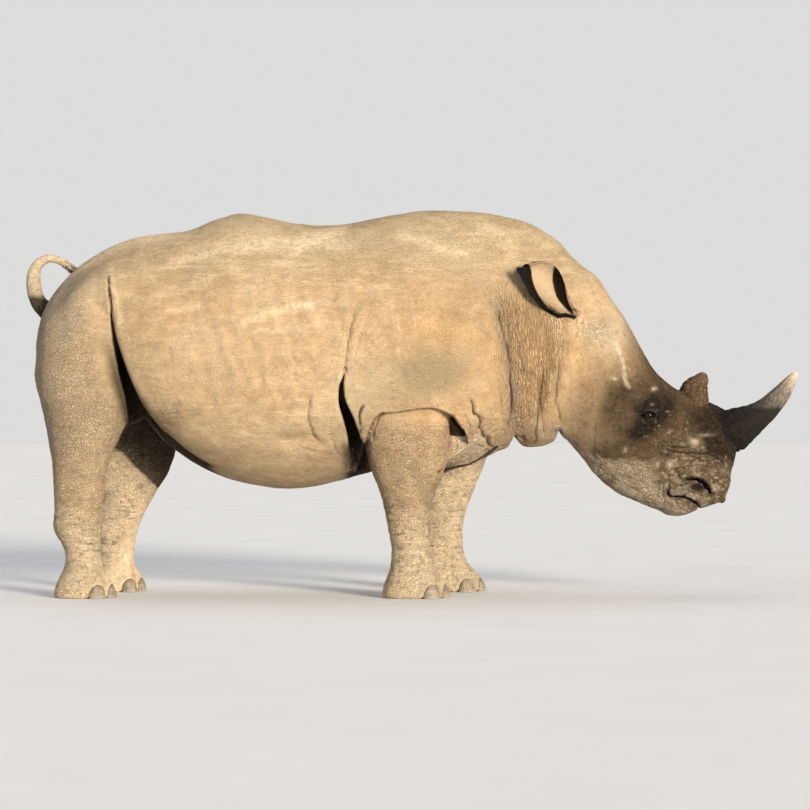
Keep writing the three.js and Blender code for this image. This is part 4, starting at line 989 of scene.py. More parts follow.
def spread(values, quads, n, turns=1):
    """Averages a value over each point's neighbours."""
    a = quads.ravel()
    b = np.roll(quads, 1, axis=1).ravel()
    deg = np.bincount(a, minlength=n) + np.bincount(b, minlength=n)
    for _ in range(turns):
        v = np.bincount(a, values[b], n) + np.bincount(b, values[a], n)
        values = v / np.maximum(deg, 1)
    return values


N = normals_of(pts, quads)
P32 = pts.astype(f32)
arr = [np.ascontiguousarray(P32[:, i]) for i in range(3)] + [np.ascontiguousarray(N[:, i].astype(f32)) for i in range(3)]
height, crease = parts(relief, *arr)
pts = pts + N * height[:, None]
pts[:, 2] = np.maximum(pts[:, 2], 0.0)
N = normals_of(pts, quads)
log("relief")

# hollows and edges, from how far each point lies below its neighbours
hollow = np.zeros(len(pts))
mean = pts.copy()
for step in range(3):
    mean = np.stack([spread(mean[:, i], quads, len(pts), 2) for i in range(3)], 1)
    hollow += ((mean - pts) * N).sum(1) / (0.0016 * (step + 1.5))
hollow = np.clip(hollow / 3, -1, 1)


def markings(x, y, z, nx, ny, nz, hollow, crease):
    """Colour weights of the skin: what lies on the hide, painted shade and light among them, and where."""
    q = zones(x, y, z, nx, ny, nz)
    ay = q["ay"]
    n1 = fractal(x * 3.2, y * 3.2, z * 3.2, 71, 3)
    n2 = fractal(x * 9, y * 9, z * 9, 72, 3)
    n3 = fractal(x * 26, y * 26, z * 26, 73, 2)
    px = x + 0.05 * n1
    pz = z + 0.05 * n1
    qx, qz = x + 0.012 * n2, z + 0.012 * n2

    def blob(cx, cz, sx, sz):
        return np.exp(-(((px - cx) / sx)**2 + ((pz - cz) / sz)**2))

    def spot(u, v, yy, sx, sz, sharp=1.0):
        cx, cz = at(u, v, yy)
        return np.exp(-((((qx - cx) / sx)**2 + ((qz - cz) / sz)**2)**sharp))

    def streak(pts_, yy, w):
        d, t = sheet_distance(qx, qz, np.array([at(u, v, yy) for u, v in pts_]))
        return np.exp(-(d / w)**2)
    out = ease(0.0, 0.08, ay)
    top = ease(0.35, 0.85, nz)
    head, legs = q["head"], q["legs"]
    dust_and_painted_light = 0.04 * q["back"] + 0.15 * top * (1 - head) + 0.95 * ease(0.46, 0.22, z + 0.05 * n2) + 0.24 * q["thigh"] + 0.22 * legs + 0.34 * n2
    # paler inner faces of the legs: dust, and painted light on the far legs' inner sides; dust on the tail
    dust_and_painted_light += 1.15 * legs * ease(0.25, -0.15, ny * np.sign(y)) * (z < 0.78) + 0.5 * ease(-1.655, -1.69, x) * ease(1.38, 1.42, z)
    # pale band under the rump's topline: dust, and a painted highlight along the ridge
    dust_and_painted_light += 0.9 * ease(0.055, 0.015, TOP(x) - z) * ease(-0.95, -1.15, x)
    dust_and_painted_light += 0.55 * spot(593, 331, -0.25, 0.060, 0.060, 1.4) + 0.25 * q["neck"] * ease(0.0, 0.4, n2)
    dust_and_painted_light += 0.6 * blob(-0.55, 1.62, 0.30, 0.035) + 0.5 * blob(-1.0, 1.30, 0.10, 0.02) + 0.4 * blob(-0.45, 1.36, 0.15, 0.02)
    dust_and_painted_light += 0.7 * streak([(245, 322), (270, 312), (312, 304)], -0.5, 0.016) + 0.45 * streak([(240, 335), (262, 330), (285, 331)], -0.5, 0.010)
    dust_and_painted_light += 0.35 * streak([(392, 300), (400, 330), (398, 352)], -0.46, 0.010) + 0.35 * streak([(410, 296), (414, 322)], -0.46, 0.008)
    dust_and_painted_light += 0.6 * streak([(400, 236), (430, 244), (466, 255)], -0.2, 0.022) + 0.5 * streak([(484, 228), (497, 235), (510, 246)], -0.2, 0.035)
    dust_and_painted_light += 0.7 * streak([(300, 247), (316, 238), (340, 229)], -0.3, 0.030) + 0.6 * streak([(584, 326), (596, 336), (606, 344)], -0.25, 0.045)
    # pale streak on the flank's rolled edge beside the gap: dust, and a painted highlight on the edge
    dust_and_painted_light += 0.6 * streak([(109, 266), (112, 280), (117, 300), (122, 322)], -0.42, 0.014) + 0.5 * streak([(170, 262), (220, 250), (270, 246)], -0.4, 0.020)
    ochre = (0.75 * blob(0.42, 1.12, 0.26, 0.30) + 0.80 * blob(0.14, 1.24, 0.28, 0.13) + 0.45 * blob(0.02, 1.45, 0.30, 0.12) + 0.40 * blob(0.55, 1.00, 0.14, 0.25) + 0.70 * blob(0.05, 0.78, 0.26, 0.24) + 0.45 * blob(-0.75, 1.15, 0.40, 0.25)
             + 0.55 * blob(0.80, 1.05, 0.20, 0.22) + 0.30 * blob(-1.45, 1.1, 0.25, 0.30)) * (1 - 0.4 * top) + 0.22 * n2
    a = q["angle"]
    r = np.hypot(x - HINGE[0], z - HINGE[1])
    # brown of the face: mud colour, darkened further as painted shade over the head
    brown = np.maximum(ease(0.80, 0.97, px + 0.30 * (0.95 - pz)), 0.55 * ease(0.64, 0.84, px + 0.30 * (0.95 - pz)) * ease(1.34, 1.14, pz)) * ease(0.1, 0.9, head)
    brown *= 1 - 0.42 * ease(0.96, 1.08, pz) * ease(1.12, 1.0, px)
    brown *= 1 - 0.24 * spot(604, 434, -0.2, 0.060, 0.060)
    eye = spot(652, 412, -0.19, 0.078, 0.080, 1.6) + 0.9 * spot(663, 404, -0.17, 0.068, 0.058, 1.3) + 1.0 * spot(641, 431, -0.2, 0.068, 0.054, 1.3)
    eye = np.clip(1.15 * eye, 0, 1) * ease(0.06, 0.12, ay)
    snout = ease(1.33, 1.42, px) * ease(0.60, 0.70, pz + 0.03 * n3 + 0.25 * (px - 1.40)) * (0.92 + 0.3 * n3)
    snout = np.maximum(snout, 0.85 * ease(0.175, 0.12, np.sqrt((x - 1.45)**2 + (z - 0.76)**2 + (0.4 * y)**2) + 0.02 * n3))
    snout = np.maximum(snout, 0.55 * spot(712, 445, -0.14, 0.075, 0.055, 1.2) * ease(-0.35, 0.25, n3 + 0.3 * n2) * ease(0.02, 0.06, ay))
    snout = np.maximum(snout, 0.80 * spot(700, 417, -0.13, 0.060, 0.062, 1.3) * (0.85 + 0.5 * n3))
    charcoal_and_shade = np.clip(eye * (0.92 + 0.15 * n3) + snout, 0, 1)
    # painted shade: black in the nostril's opening
    charcoal_and_shade = np.maximum(charcoal_and_shade, 0.97 * spot(698, 487, -0.13, 0.043, 0.021, 1.6) * ease(0.06, 0.09, ay))
    charcoal_and_shade = np.maximum(charcoal_and_shade, 0.30 * spot(720, 488, -0.10, 0.040, 0.075, 1.2) * (0.8 + 0.6 * n3))
    charcoal_and_shade = np.maximum(charcoal_and_shade, 0.34 * spot(683, 493, -0.13, 0.062, 0.034, 1.4) * (0.85 + 0.6 * n3) * ease(0.06, 0.09, ay))
    # painted shade round the eye opening
    eu, ev = (x - EYE["x"]) * 0.995 + (z - EYE["z"]) * 0.10, (z - EYE["z"]) * 0.995 - (x - EYE["x"]) * 0.10
    arc = 1 - (eu / 0.034)**2
    slit = np.maximum(np.maximum(ev - 0.0165 * arc, -ev - 0.0125 * arc), np.abs(eu) - 0.034)
    charcoal_and_shade = np.maximum(charcoal_and_shade, ease(0.021, 0.008, slit) * ease(0.10, 0.13, ay))
    # painted shade along the mouth slit and in the nostril
    d, t = sheet_distance(x, z, MOUTH)
    mouth = np.exp(-(d / 0.0115)**2) * ease(0.30, 0.8, np.abs(ny)) * (x > 1.1)
    d2, t = sheet_distance(x, z, NOSTRIL)
    nos = np.exp(-(d2 / 0.0125)**2) * (x > 1.2) * (ay > 0.07)
    inside, _ = sheet_distance(x, z, FLANK_GAP[0])
    inside2, _ = sheet_distance(x, z, ELBOW_GAP[0])
    charcoal_and_shade = np.clip(charcoal_and_shade + 0.9 * mouth + 0.8 * nos, 0, 1)
    # pale specks of the face; the streak down the temple ridge and the two spots over the eye are painted highlights
    pale = (0.85 * streak([(615, 344), (618, 352), (623, 368), (628, 386)], -0.15, 0.010) + 0.55 * blob(0.90, 1.20, 0.08, 0.09)
            + 0.9 * spot(615.5, 378, -0.2, 0.016, 0.010) + 0.9 * spot(654, 389, -0.18, 0.012, 0.008)
            + 0.7 * spot(625.5, 451, -0.22, 0.008, 0.014) + 0.28 * spot(652, 404.5, -0.19, 0.008, 0.006)
            + 0.05 * spot(650, 409.3, -0.19, 0.022, 0.006) + 0.7 * spot(695, 441, -0.15, 0.030, 0.020)
            + 0.35 * spot(707, 434, -0.14, 0.034, 0.008) + 0.6 * spot(670, 465, -0.15, 0.022, 0.016)
            + 0.30 * head * region(r, 1.18, 1.60, 0.03) * ease(66, 60, a) * ease(0.35, 0.60, fractal(x * 60, y * 60, z * 60, 74, 2) + 0.25 * n3)
            + 0.50 * spot(682, 461, -0.15, 0.030, 0.036) * ease(-0.15, 0.40, n3 + 0.5 * n2) + 0.15 * spot(719, 478, -0.12, 0.030, 0.040) * ease(-0.15, 0.40, n3 + 0.5 * n2)) * out
    # the lip's pale colour, and a painted highlight on it
    lip = (0.48 * spot(679, 493, -0.13, 0.028, 0.009) + 0.40 * spot(688, 497.5, -0.13, 0.018, 0.007)) * out
    pale = pale + 0.40 * head * region(r, 1.20, 1.52, 0.04) * ease(60, 56, a) * ease(0.15, 0.45, fractal(x * 60, y * 60, z * 90, 76, 2)) * out
    olive = (0.26 * q["back"] + 0.12 * (1 - head) * (1 - legs) + 0.72 * blob(0.02, 1.02, 0.16, 0.12) + 0.75 * blob(0.13, 1.02, 0.13, 0.09) + 0.48 * blob(0.28, 1.30, 0.18, 0.10) + 0.35 * blob(-0.25, 0.75, 0.12, 0.16)
             + 0.6 * blob(-1.30, 1.05, 0.14, 0.22) * ease(0, 0.3, n1 + 0.2))
    # grey band along the big neck fold: grey hide, and painted shade of the fold; grey at the rear of the rump is
    # painted shade on the side turned from the light
    band = streak([(497, 305), (502, 330), (508, 360), (511, 385), (513, 410), (516, 432)], -0.33, 0.026)
    pale = np.maximum(pale, 0.75 * streak([(507, 378), (512, 400), (515, 425), (519, 438)], -0.33, 0.022) * ease(0.10, 0.45, fractal(x * 45, y * 45, z * 30, 75, 2)) * out)
    ash_and_shade = (0.62 * band * out
           + 0.35 * legs * ease(0.05, 0.55, 0.5 * n3 + 0.9 * n2) * region(z, 0.30, 0.56, 0.06) + 0.35 * ease(0.15, 0.6, n3) * (1 - head) * (1 - 0.85 * q["back"])
           + 0.55 * ease(-1.42, -1.62, px) * ease(0.45, 0.75, pz) + 0.15 * q["legs"] * ease(0.0, 0.5, n2))
    ash_and_shade = ash_and_shade + 0.28 * q["thigh"] * ease(0.0, 0.5, noise(x * 9, y * 3, z * 2.2, 92) + 0.4 * n2)
    olive = olive + 0.75 * blob(0.075, 0.47, 0.060, 0.085) * ease(-0.2, 0.3, ny * np.sign(y)) + 0.35 * blob(-0.02, 0.62, 0.07, 0.10)
    olive = olive + 0.5 * q["thigh"] * ease(0.0, 0.5, -noise(x * 9, y * 3, z * 2.2, 92) + 0.4 * n2)
    flap = region(x, 0.185, 0.340, 0.012) * region(z, 0.60, 0.755, 0.02) * ease(-0.1, 0.3, ny * np.sign(y)) * ease(0.34, 0.31, ay)
    dust_and_painted_light = dust_and_painted_light + 1.3 * flap
    # grey streak in the groove along the top of the rump: painted shade
    ash_and_shade = ash_and_shade + 0.45 * streak([(55, 290), (66, 283), (80, 274.5), (100, 261.5), (120, 253)], -0.15, 0.014) * out
    # painted shade: darker in creases and hollows, and along the big neck fold
    shade = np.clip(0.75 * crease + 0.50 * np.clip(hollow, 0, 1), 0, 1)
    shade = np.maximum(shade, 0.24 * streak([(499, 306), (505, 332), (511, 354), (514, 374), (513, 392)], -0.33, 0.014) * out)
    # painted shadow in the hollow between the arm and the breast, along the lower edge of the chest flap, and under the
    # root of the tail
    dd, tt_ = sheet_distance(x, z, np.array([at(u, v, -0.28) for u, v in ((446, 412), (453, 418.5), (461, 428), (468, 438.5))]))
    shade = np.maximum(shade, ease(0.022, 0.010, dd) * ease(0.33, 0.29, ay) * (x > 0.14))
    dd, tt_ = sheet_distance(x, z, np.array([at(u, v, -0.15) for u, v in ((444, 472.5), (451, 469.5), (458, 467), (464, 466.5), (470, 465), (477, 461.5), (484, 457), (490, 452), (497, 447))]))
    shade = np.maximum(shade, ease(0.0125, 0.0055, dd + 0.002 * n3) * (x > 0.14) * (x < 0.43) * ease(0.30, 0.27, ay))
    shade = np.maximum(shade, ease(1.405, 1.365, z) * ease(-1.645, -1.69, x) * ease(0.09, 0.05, ay) * (z > 1.26))
    # painted shade deep in the gaps at flank and elbow
    deep = np.maximum(ease(0.10, 0.03, inside) * (z < 1.30) * (x < -1.0) * region(ay, 0.0, 0.42, 0.06) * ease(1.25, 1.05, z),
                      ease(0.09, 0.03, inside2) * region(ay, 0, 0.42, 0.05) * (x < -0.15) * (x > -0.45) * ease(0.98, 0.86, z))
    # painted shade on the downward-facing underside of the body
    under = ease(-0.25, -0.75, nz) * (z > 0.40) * (x < 0.1) * (1 - head)
    # painted shadow: the belly's shadow on the legs' inner faces above a slanting line, and the dark of the groin
    inward = np.maximum(ease(0.30, -0.10, ny * np.sign(y)), ease(0.26, 0.21, ay))
    line = z + 0.012 * n3 - (0.713 - 1.04 * (x + 1.418))
    groin = region(x + 0.3 * (z - 0.8), -1.46, -0.98, 0.04) * ease(-0.018, 0.018, line) * ease(0.40, 0.34, ay) * inward * (z > 0.40) * ease(1.18, 1.08, z)
    shade = np.clip(np.maximum(shade, np.maximum(deep, groin)) + 0.20 * under, 0, 1)
    edge = np.clip(-hollow, 0, 1)
    patchy = ease(-0.30, 0.35, n3 + 0.6 * n2)
    jaw = head * ease(0.030, -0.022, r - PALE_JAW(a) + 0.032 * n2 + 0.018 * n3) * (1 - (0.93 - 0.42 * patchy) * ease(61.5, 56.5, a) * ease(1.245, 1.30, r))
    vert = q["neck"] * (1 - head)
    lines = np.clip(q["back"] + 0.6 * (1 - head) * (1 - q["neck"]) * (1 - legs), 0, 1) * (1 - q["thigh"] * 0.6)
    plates = np.clip(0.7 * q["thigh"] + 0.8 * legs + jaw + flap + 0.9 * spot(595, 330, -0.25, 0.075, 0.075, 1.4), 0, 1)
    # inside of the ear bare and pale; a dark band under its front wall, painted shadow with dark hair, and black hair
    # along its lower rim
    cup = np.zeros(x.shape, f32)
    m = (x > 0.48) & (x < 0.86) & (z > 1.18) & (z < 1.58) & (ay > 0.12)
    if m.any():
        outer_, inner_, run_, ac_ = ear(x[m], ay[m], z[m])
        cup[m] = ease(0.006, 0.001, np.abs(inner_)) * ease(0.0, -0.004, outer_)
        leaf = ease(0.016, 0.010, outer_) * ease(0.27, 0.31, run_)
        rows_ = gap_rows([(553.5, 262, .003), (557, 268, .015), (558.5, 277, .026), (560, 287, .024), (562.5, 296, .021), (567, 304, .012), (574, 313, .004)], -0.33)
        dd, tt_ = sheet_distance(x[m], z[m], rows_[0])
        band_ = ease(0.004, -0.003, dd - rows_[1](tt_))
        rows_ = gap_rows([(519, 264, .012), (523.5, 270, .030), (527, 280, .023), (530.5, 290, .020), (536, 300, .019), (544, 309, .016), (555, 315.5, .011), (567, 315, .009),
                          (576, 317.5, .009), (580, 323, .006)], -0.33)
        dd, tt_ = sheet_distance(x[m], z[m], rows_[0])
        band_ = np.maximum(band_, ease(0.004, -0.003, dd - rows_[1](tt_)))
        rim_ = gap_rows([(526, 265.5, .004), (533, 262.5, .005), (541, 260, .005), (548, 259, .003)], -0.33)
        dd, tt_ = sheet_distance(x[m], z[m], rim_[0])
        charcoal_and_shade[m] = np.maximum(charcoal_and_shade[m], leaf * np.maximum(band_, 0.6 * ease(0.003, -0.002, dd - rim_[1](tt_))))
        # both dark bands of the ear also darkened as painted shade
        shade[m] = np.maximum(shade[m], leaf * band_)
    # paler where the jaw faces down: pale hide, and painted light from below
    pale = pale + 0.75 * jaw * ease(1.30, 1.20, r + 0.03 * n2) * ease(-0.35, 0.15, n3 + 0.4 * n2) * ease(0.05, -0.5, nz)
    c = lambda v: np.clip(v, 0, 1).astype(f32)
    return (np.clip(dust_and_painted_light, 0, 1.5).astype(f32), c(ochre), c(brown), c(charcoal_and_shade), c(shade), c(edge), c(lines), c(vert), c(plates), c(jaw), c(pale), c(olive), c(ash_and_shade),
            c(lip), c(cup))


arr = [np.ascontiguousarray(pts[:, i].astype(f32)) for i in range(3)] + [np.ascontiguousarray(N[:, i].astype(f32)) for i in range(3)]
(dust_and_painted_light, ochre, brown, charcoal_and_shade, shade, edge, lines, vert, plates, jaw, pale, olive, ash_and_shade, lip, cup) = parts(
    markings, *arr, hollow.astype(f32), crease)
log("markings")


def paint(ob, name, r, g, b, a=None):
    at_ = ob.data.color_attributes.new(name, "FLOAT_COLOR", "POINT")
    v = np.ones((len(r), 4), f32)
    v[:, 0], v[:, 1], v[:, 2] = r, g, b
    if a is not None:
        v[:, 3] = a
    at_.data.foreach_set("color", v.ravel())


skin_ob = new_mesh("hide", pts, quads)
paint(skin_ob, "tone", dust_and_painted_light, ochre, brown)
paint(skin_ob, "dark", charcoal_and_shade, shade, edge)
paint(skin_ob, "grain", lines, vert, plates)
paint(skin_ob, "spots", jaw, pale, olive)
paint(skin_ob, "ash_shade_lip_cup", ash_and_shade, lip, cup)


def hide_material():
    m, nt, b = new_material("hide")
    g = Graph(nt)
    p = g.position()
    dust_and_painted_light, ochre, brown = g.channels("tone")
    charcoal_and_shade, shade, edge = g.channels("dark")
    lines, vert, plates = g.channels("grain")
    jaw, pale, olive = g.channels("spots")
    ash_and_shade, lip, cup = g.channels("ash_shade_lip_cup")
    # warped places, so that no crack runs straight
    w = g.vmath("SUBTRACT", g.noise_vector(p, 9, 2), (0.5, 0.5, 0.5))
    pw = g.vmath("ADD", p, g.vmath("SCALE", w, scale=0.035))
    w2 = g.vmath("SUBTRACT", g.noise_vector(p, 40, 2), (0.5, 0.5, 0.5))
    pw = g.vmath("ADD", pw, g.vmath("SCALE", w2, scale=0.010))
    big = g.noise(p, 2.2, 4, 0.55)
    mid = g.noise(pw, 14, 4, 0.6)
    spots = g.noise(pw, 46, 4, 0.6)
    fine = g.noise(pw, 105, 4, 0.7)
    # cracks between small plates of the hide
    net = g.voronoi(pw, 84)
    netl = g.voronoi(g.mapped(pw, (26, 30, 92)), 1.0)
    netv = g.voronoi(g.mapped(pw, (88, 60, 15)), 1.0)
    neth = g.voronoi(g.mapped(pw, (58, 58, 84)), 1.0)
    micro = g.voronoi(pw, 190)
    c_net = g.range(net, 0.0, 0.16)
    c_line = g.range(netl, 0.0, 0.14)
    c_vert = g.range(netv, 0.0, 0.16)
    c_plate = g.range(neth, 0.0, 0.12)
    c_micro = g.range(micro, 0.0, 0.22)
    sweep = g.noise(g.mapped(pw, (6, 8, 46), (0, 0.14, 0)), 1.0, 4, 0.62)        # level streaks
    coarse = g.math("MAXIMUM", plates, g.math("MAXIMUM", g.math("MULTIPLY", vert, 0.6), g.math("MULTIPLY", brown, 0.6)))
    h = g.math("MULTIPLY", c_net, g.mixf(coarse, 0.26, 0.60))
    h = g.math("MULTIPLY_ADD", c_line, g.math("MULTIPLY", lines, 0.45), h)
    h = g.math("MULTIPLY_ADD", sweep, g.math("MULTIPLY", lines, 0.9), h)
    h = g.math("MULTIPLY_ADD", c_vert, g.math("MULTIPLY", vert, 1.5), h)
    h = g.math("MULTIPLY_ADD", c_plate, g.math("MULTIPLY", plates, 1.0), h)
    h = g.math("MULTIPLY_ADD", c_micro, 0.32, h)
    h = g.math("MULTIPLY_ADD", mid, 0.5, h)
    h = g.math("MULTIPLY_ADD", spots, g.mixf(coarse, 0.40, 0.85), h)
    h = g.math("MULTIPLY_ADD", fine, 0.60, h)
    h = g.math("MULTIPLY", h, g.range(cup, 0.0, 1.0, 1.0, 0.35))
    g.link(g.bump(h, 0.0038, 1.0), b.inputs["Normal"])
    # colours: bare tan hide, pale dust, ochre earth, brown face darkened in part as painted shade, charcoal round eyes
    # and nose with painted shade in mouth, nostrils and eye opening
    tan = g.mix(g.range(mid, 0.30, 0.72), (0.440, 0.302, 0.170), (0.585, 0.417, 0.242))
    tan = g.mix(g.range(big, 0.42, 0.68), tan, (0.54, 0.41, 0.26))
    tan = g.mix(g.math("MULTIPLY", g.range(sweep, 0.50, 0.68, 0.0, 0.75), lines), tan, (0.73, 0.565, 0.37))
    tan = g.mix(g.math("MULTIPLY", g.range(sweep, 0.46, 0.30, 0.0, 0.50), lines), tan, (0.375, 0.275, 0.165))
    earth = g.mix(g.range(mid, 0.3, 0.7), (0.46, 0.275, 0.130), (0.60, 0.375, 0.185))
    powder = g.mix(g.range(fine, 0.3, 0.7), (0.73, 0.565, 0.37), (0.86, 0.69, 0.47))
    # face colours: mud brown, kept dark as painted shade over the head
    face = g.mix(g.range(mid, 0.28, 0.70), (0.048, 0.030, 0.017), (0.098, 0.062, 0.034))
    face = g.mix(g.range(spots, 0.52, 0.72, 0.0, 0.50), face, (0.165, 0.108, 0.062))
    face = g.mix(g.range(spots, 0.46, 0.30, 0.0, 0.75), face, (0.018, 0.012, 0.009))
    face = g.mix(g.range(fine, 0.55, 0.70, 0.0, 0.32), face, (0.27, 0.19, 0.120))
    col = g.mix(g.math("MULTIPLY", ochre, 0.85), tan, earth)
    col = g.mix(g.math("MULTIPLY", olive, 0.8), col, (0.285, 0.225, 0.130))
    dust_and_light_amount = g.math("MULTIPLY", dust_and_painted_light, g.range(spots, 0.30, 0.62, 0.30, 1.0))
    # pale dust, with painted light on the legs' inner faces, the rump's ridge and the flank's edge
    col = g.mix(g.math("MULTIPLY", dust_and_light_amount, 0.9), col, powder)
    # fine mottling, light and dark
    col = g.mix(g.range(fine, 0.54, 0.72, 0.0, 0.45), col, (0.72, 0.58, 0.40))
    col = g.mix(g.math("MULTIPLY", g.range(spots, 0.46, 0.28, 0.0, 1.0), g.mixf(lines, 0.46, 0.16)), col, (0.235, 0.165, 0.100))
    # grey, with painted shade along the neck fold, in the rump's groove and at the rear of the rump
    col = g.mix(g.math("MULTIPLY", ash_and_shade, g.range(fine, 0.35, 0.6, 0.35, 0.85)), col, (0.31, 0.265, 0.205))
    col = g.mix(g.math("MULTIPLY", cup, 0.75), col, (0.50, 0.375, 0.245))
    col = g.mix(g.math("MULTIPLY", brown, 0.95), col, face)
    nets = g.voronoi(g.mapped(pw, (90, 90, 110)), 1.0)
    scale_ = g.mix(g.range(nets, 0.0, 0.12), (0.200, 0.150, 0.098), (0.500, 0.395, 0.262))
    jawlong = g.noise(g.mapped(g.mapped(pw, (1, 1, 1), (0, -0.60, 0)), (12, 22, 46)), 1.0, 4, 0.62)      # streaks that follow the jaw
    scale_ = g.mix(g.range(jawlong, 0.50, 0.66, 0.0, 0.80), scale_, (0.66, 0.54, 0.385))
    scale_ = g.mix(g.range(fine, 0.56, 0.72, 0.0, 0.6), scale_, (0.74, 0.62, 0.46))
    scale_ = g.mix(g.range(jawlong, 0.45, 0.32, 0.0, 0.75), scale_, (0.130, 0.096, 0.064))
    col = g.mix(g.math("MULTIPLY", jaw, 0.92), col, scale_)
    # near-black of charcoal skin, and painted shade in mouth, nostrils, eye opening and ear
    col = g.mix(g.math("MULTIPLY", charcoal_and_shade, g.range(spots, 0.30, 0.70, 1.0, 0.84)), col, g.mix(g.range(fine, 0.45, 0.70), (0.0062, 0.0054, 0.0052), (0.0205, 0.0176, 0.0156)))
    col = g.mix(g.math("MULTIPLY", pale, g.range(spots, 0.3, 0.6, 0.45, 0.95)), col, (0.68, 0.56, 0.405))
    # the lip's pale colour, and a painted highlight on it
    col = g.mix(g.math("MULTIPLY", lip, g.range(spots, 0.3, 0.55, 0.5, 0.95)), col, (0.56, 0.47, 0.43))
    # painted shade darkens the folds, hollows and recesses, and the fine cracks are darker; wear and dust on the ridges
    crack = g.math("SUBTRACT", 1.0, g.math("MULTIPLY", c_net, c_micro))
    crack = g.math("MULTIPLY", crack, g.mixf(coarse, 0.15, 0.44))
    crack = g.math("MAXIMUM", crack, g.math("MULTIPLY", g.math("SUBTRACT", 1.0, c_vert), g.math("MULTIPLY", vert, g.range(mid, 0.35, 0.6, 0.15, 0.55))))
    deep = g.math("MAXIMUM", g.math("MULTIPLY", shade, 0.97), crack)
    shade_and_crack_colour = g.mix(0.95, col, (0.0075, 0.0046, 0.0030))
    col = g.mix(deep, col, shade_and_crack_colour)
    wear = g.math("MULTIPLY", edge, g.mixf(g.math("MAXIMUM", charcoal_and_shade, g.math("MULTIPLY", brown, 0.6)), 0.34, 0.02))
    # pale crowns of the granules on limbs and rump
    crown = g.math("MULTIPLY", g.range(net, 0.20, 0.42), g.math("MULTIPLY", plates, g.range(fine, 0.42, 0.60, 0.0, 0.38)))
    col = g.mix(g.math("MULTIPLY", crown, g.math("SUBTRACT", 1.0, charcoal_and_shade)), col, g.mix(0.7, col, (0.86, 0.72, 0.54)))
    col = g.mix(wear, col, g.mix(0.6, col, (0.78, 0.65, 0.48)))
    g.link(col, b.inputs["Base Color"])
    rough = g.mixf(g.range(fine, 0.3, 0.7), 0.74, 0.92)
    g.link(g.mixf(charcoal_and_shade, rough, 0.72), b.inputs["Roughness"])
    b.inputs["Specular IOR Level"].default_value = 0.04
    return m


skin_ob.data.materials.append(hide_material())
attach(skin_ob, "root")
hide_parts("trunk", "neck", "head", "tail", "ear_left", "ear_right",
            "leg_front_left", "leg_front_right", "leg_hind_left", "leg_hind_right")

# ---------------------------------------------------------------- horns

def loft_points(rows, rings, segments, power=2.0):
    """Rings round a path of (x, y, z, half size along the head, half size across); returns points, run and turn."""
    path = along([r[:3] for r in rows], 24)
    n = len(rows) - 1
    t = np.linspace(0, 1, rings)
    f = np.linspace(0, 1, len(path))
    c = np.stack([np.interp(t, f, path[:, i]) for i in range(3)], 1)
    fore = curve([(i / n, r[3]) for i, r in enumerate(rows)])(t)
    wide = curve([(i / n, r[4]) for i, r in enumerate(rows)])(t)
    way = np.gradient(c, axis=0)
    way /= np.linalg.norm(way, axis=1, keepdims=True)
    deep = np.array([0, 1.0, 0])[None] - way * way[:, 1:2]
    deep /= np.linalg.norm(deep, axis=1, keepdims=True)
    across = np.cross(way, deep)
    w = 2 * np.pi * np.arange(segments) / segments
    cs, sn = np.cos(w), np.sin(w)
    sx, sy = np.sign(cs) * np.abs(cs)**(2 / power), np.sign(sn) * np.abs(sn)**(2 / power)
    p = (c[:, None] + across[:, None] * (fore[:, None, None] * sx[None, :, None]) + deep[:, None] * (wide[:, None, None] * sy[None, :, None]))
    return p, np.repeat(t[:, None], segments, 1), np.repeat(w[None], rings, 0), c, way


def close_loft(p, start=True):
    """Quads round a loft of rings, with a small fan of quads to a middle point at each end."""
    rings, seg = p.shape[:2]
    idx = np.arange(rings * seg).reshape(rings, seg)
    nxt = np.roll(idx, -1, 1)
    quads_ = np.stack([idx[:-1], nxt[:-1], nxt[1:], idx[1:]], -1).reshape(-1, 4)
    flat = p.reshape(-1, 3)
    ends = np.stack([p[0].mean(0), p[-1].mean(0)])
    pts_ = np.vstack([flat, ends])
    a, b = rings * seg, rings * seg + 1
    half = np.arange(0, seg, 2)
    lowf = np.stack([np.full(len(half), a), idx[0][(half + 2) % seg], idx[0][(half + 1) % seg], idx[0][half]], -1)
    topf = np.stack([np.full(len(half), b), idx[-1][half], idx[-1][(half + 1) % seg], idx[-1][(half + 2) % seg]], -1)
    return pts_, np.vstack([quads_, lowf, topf])


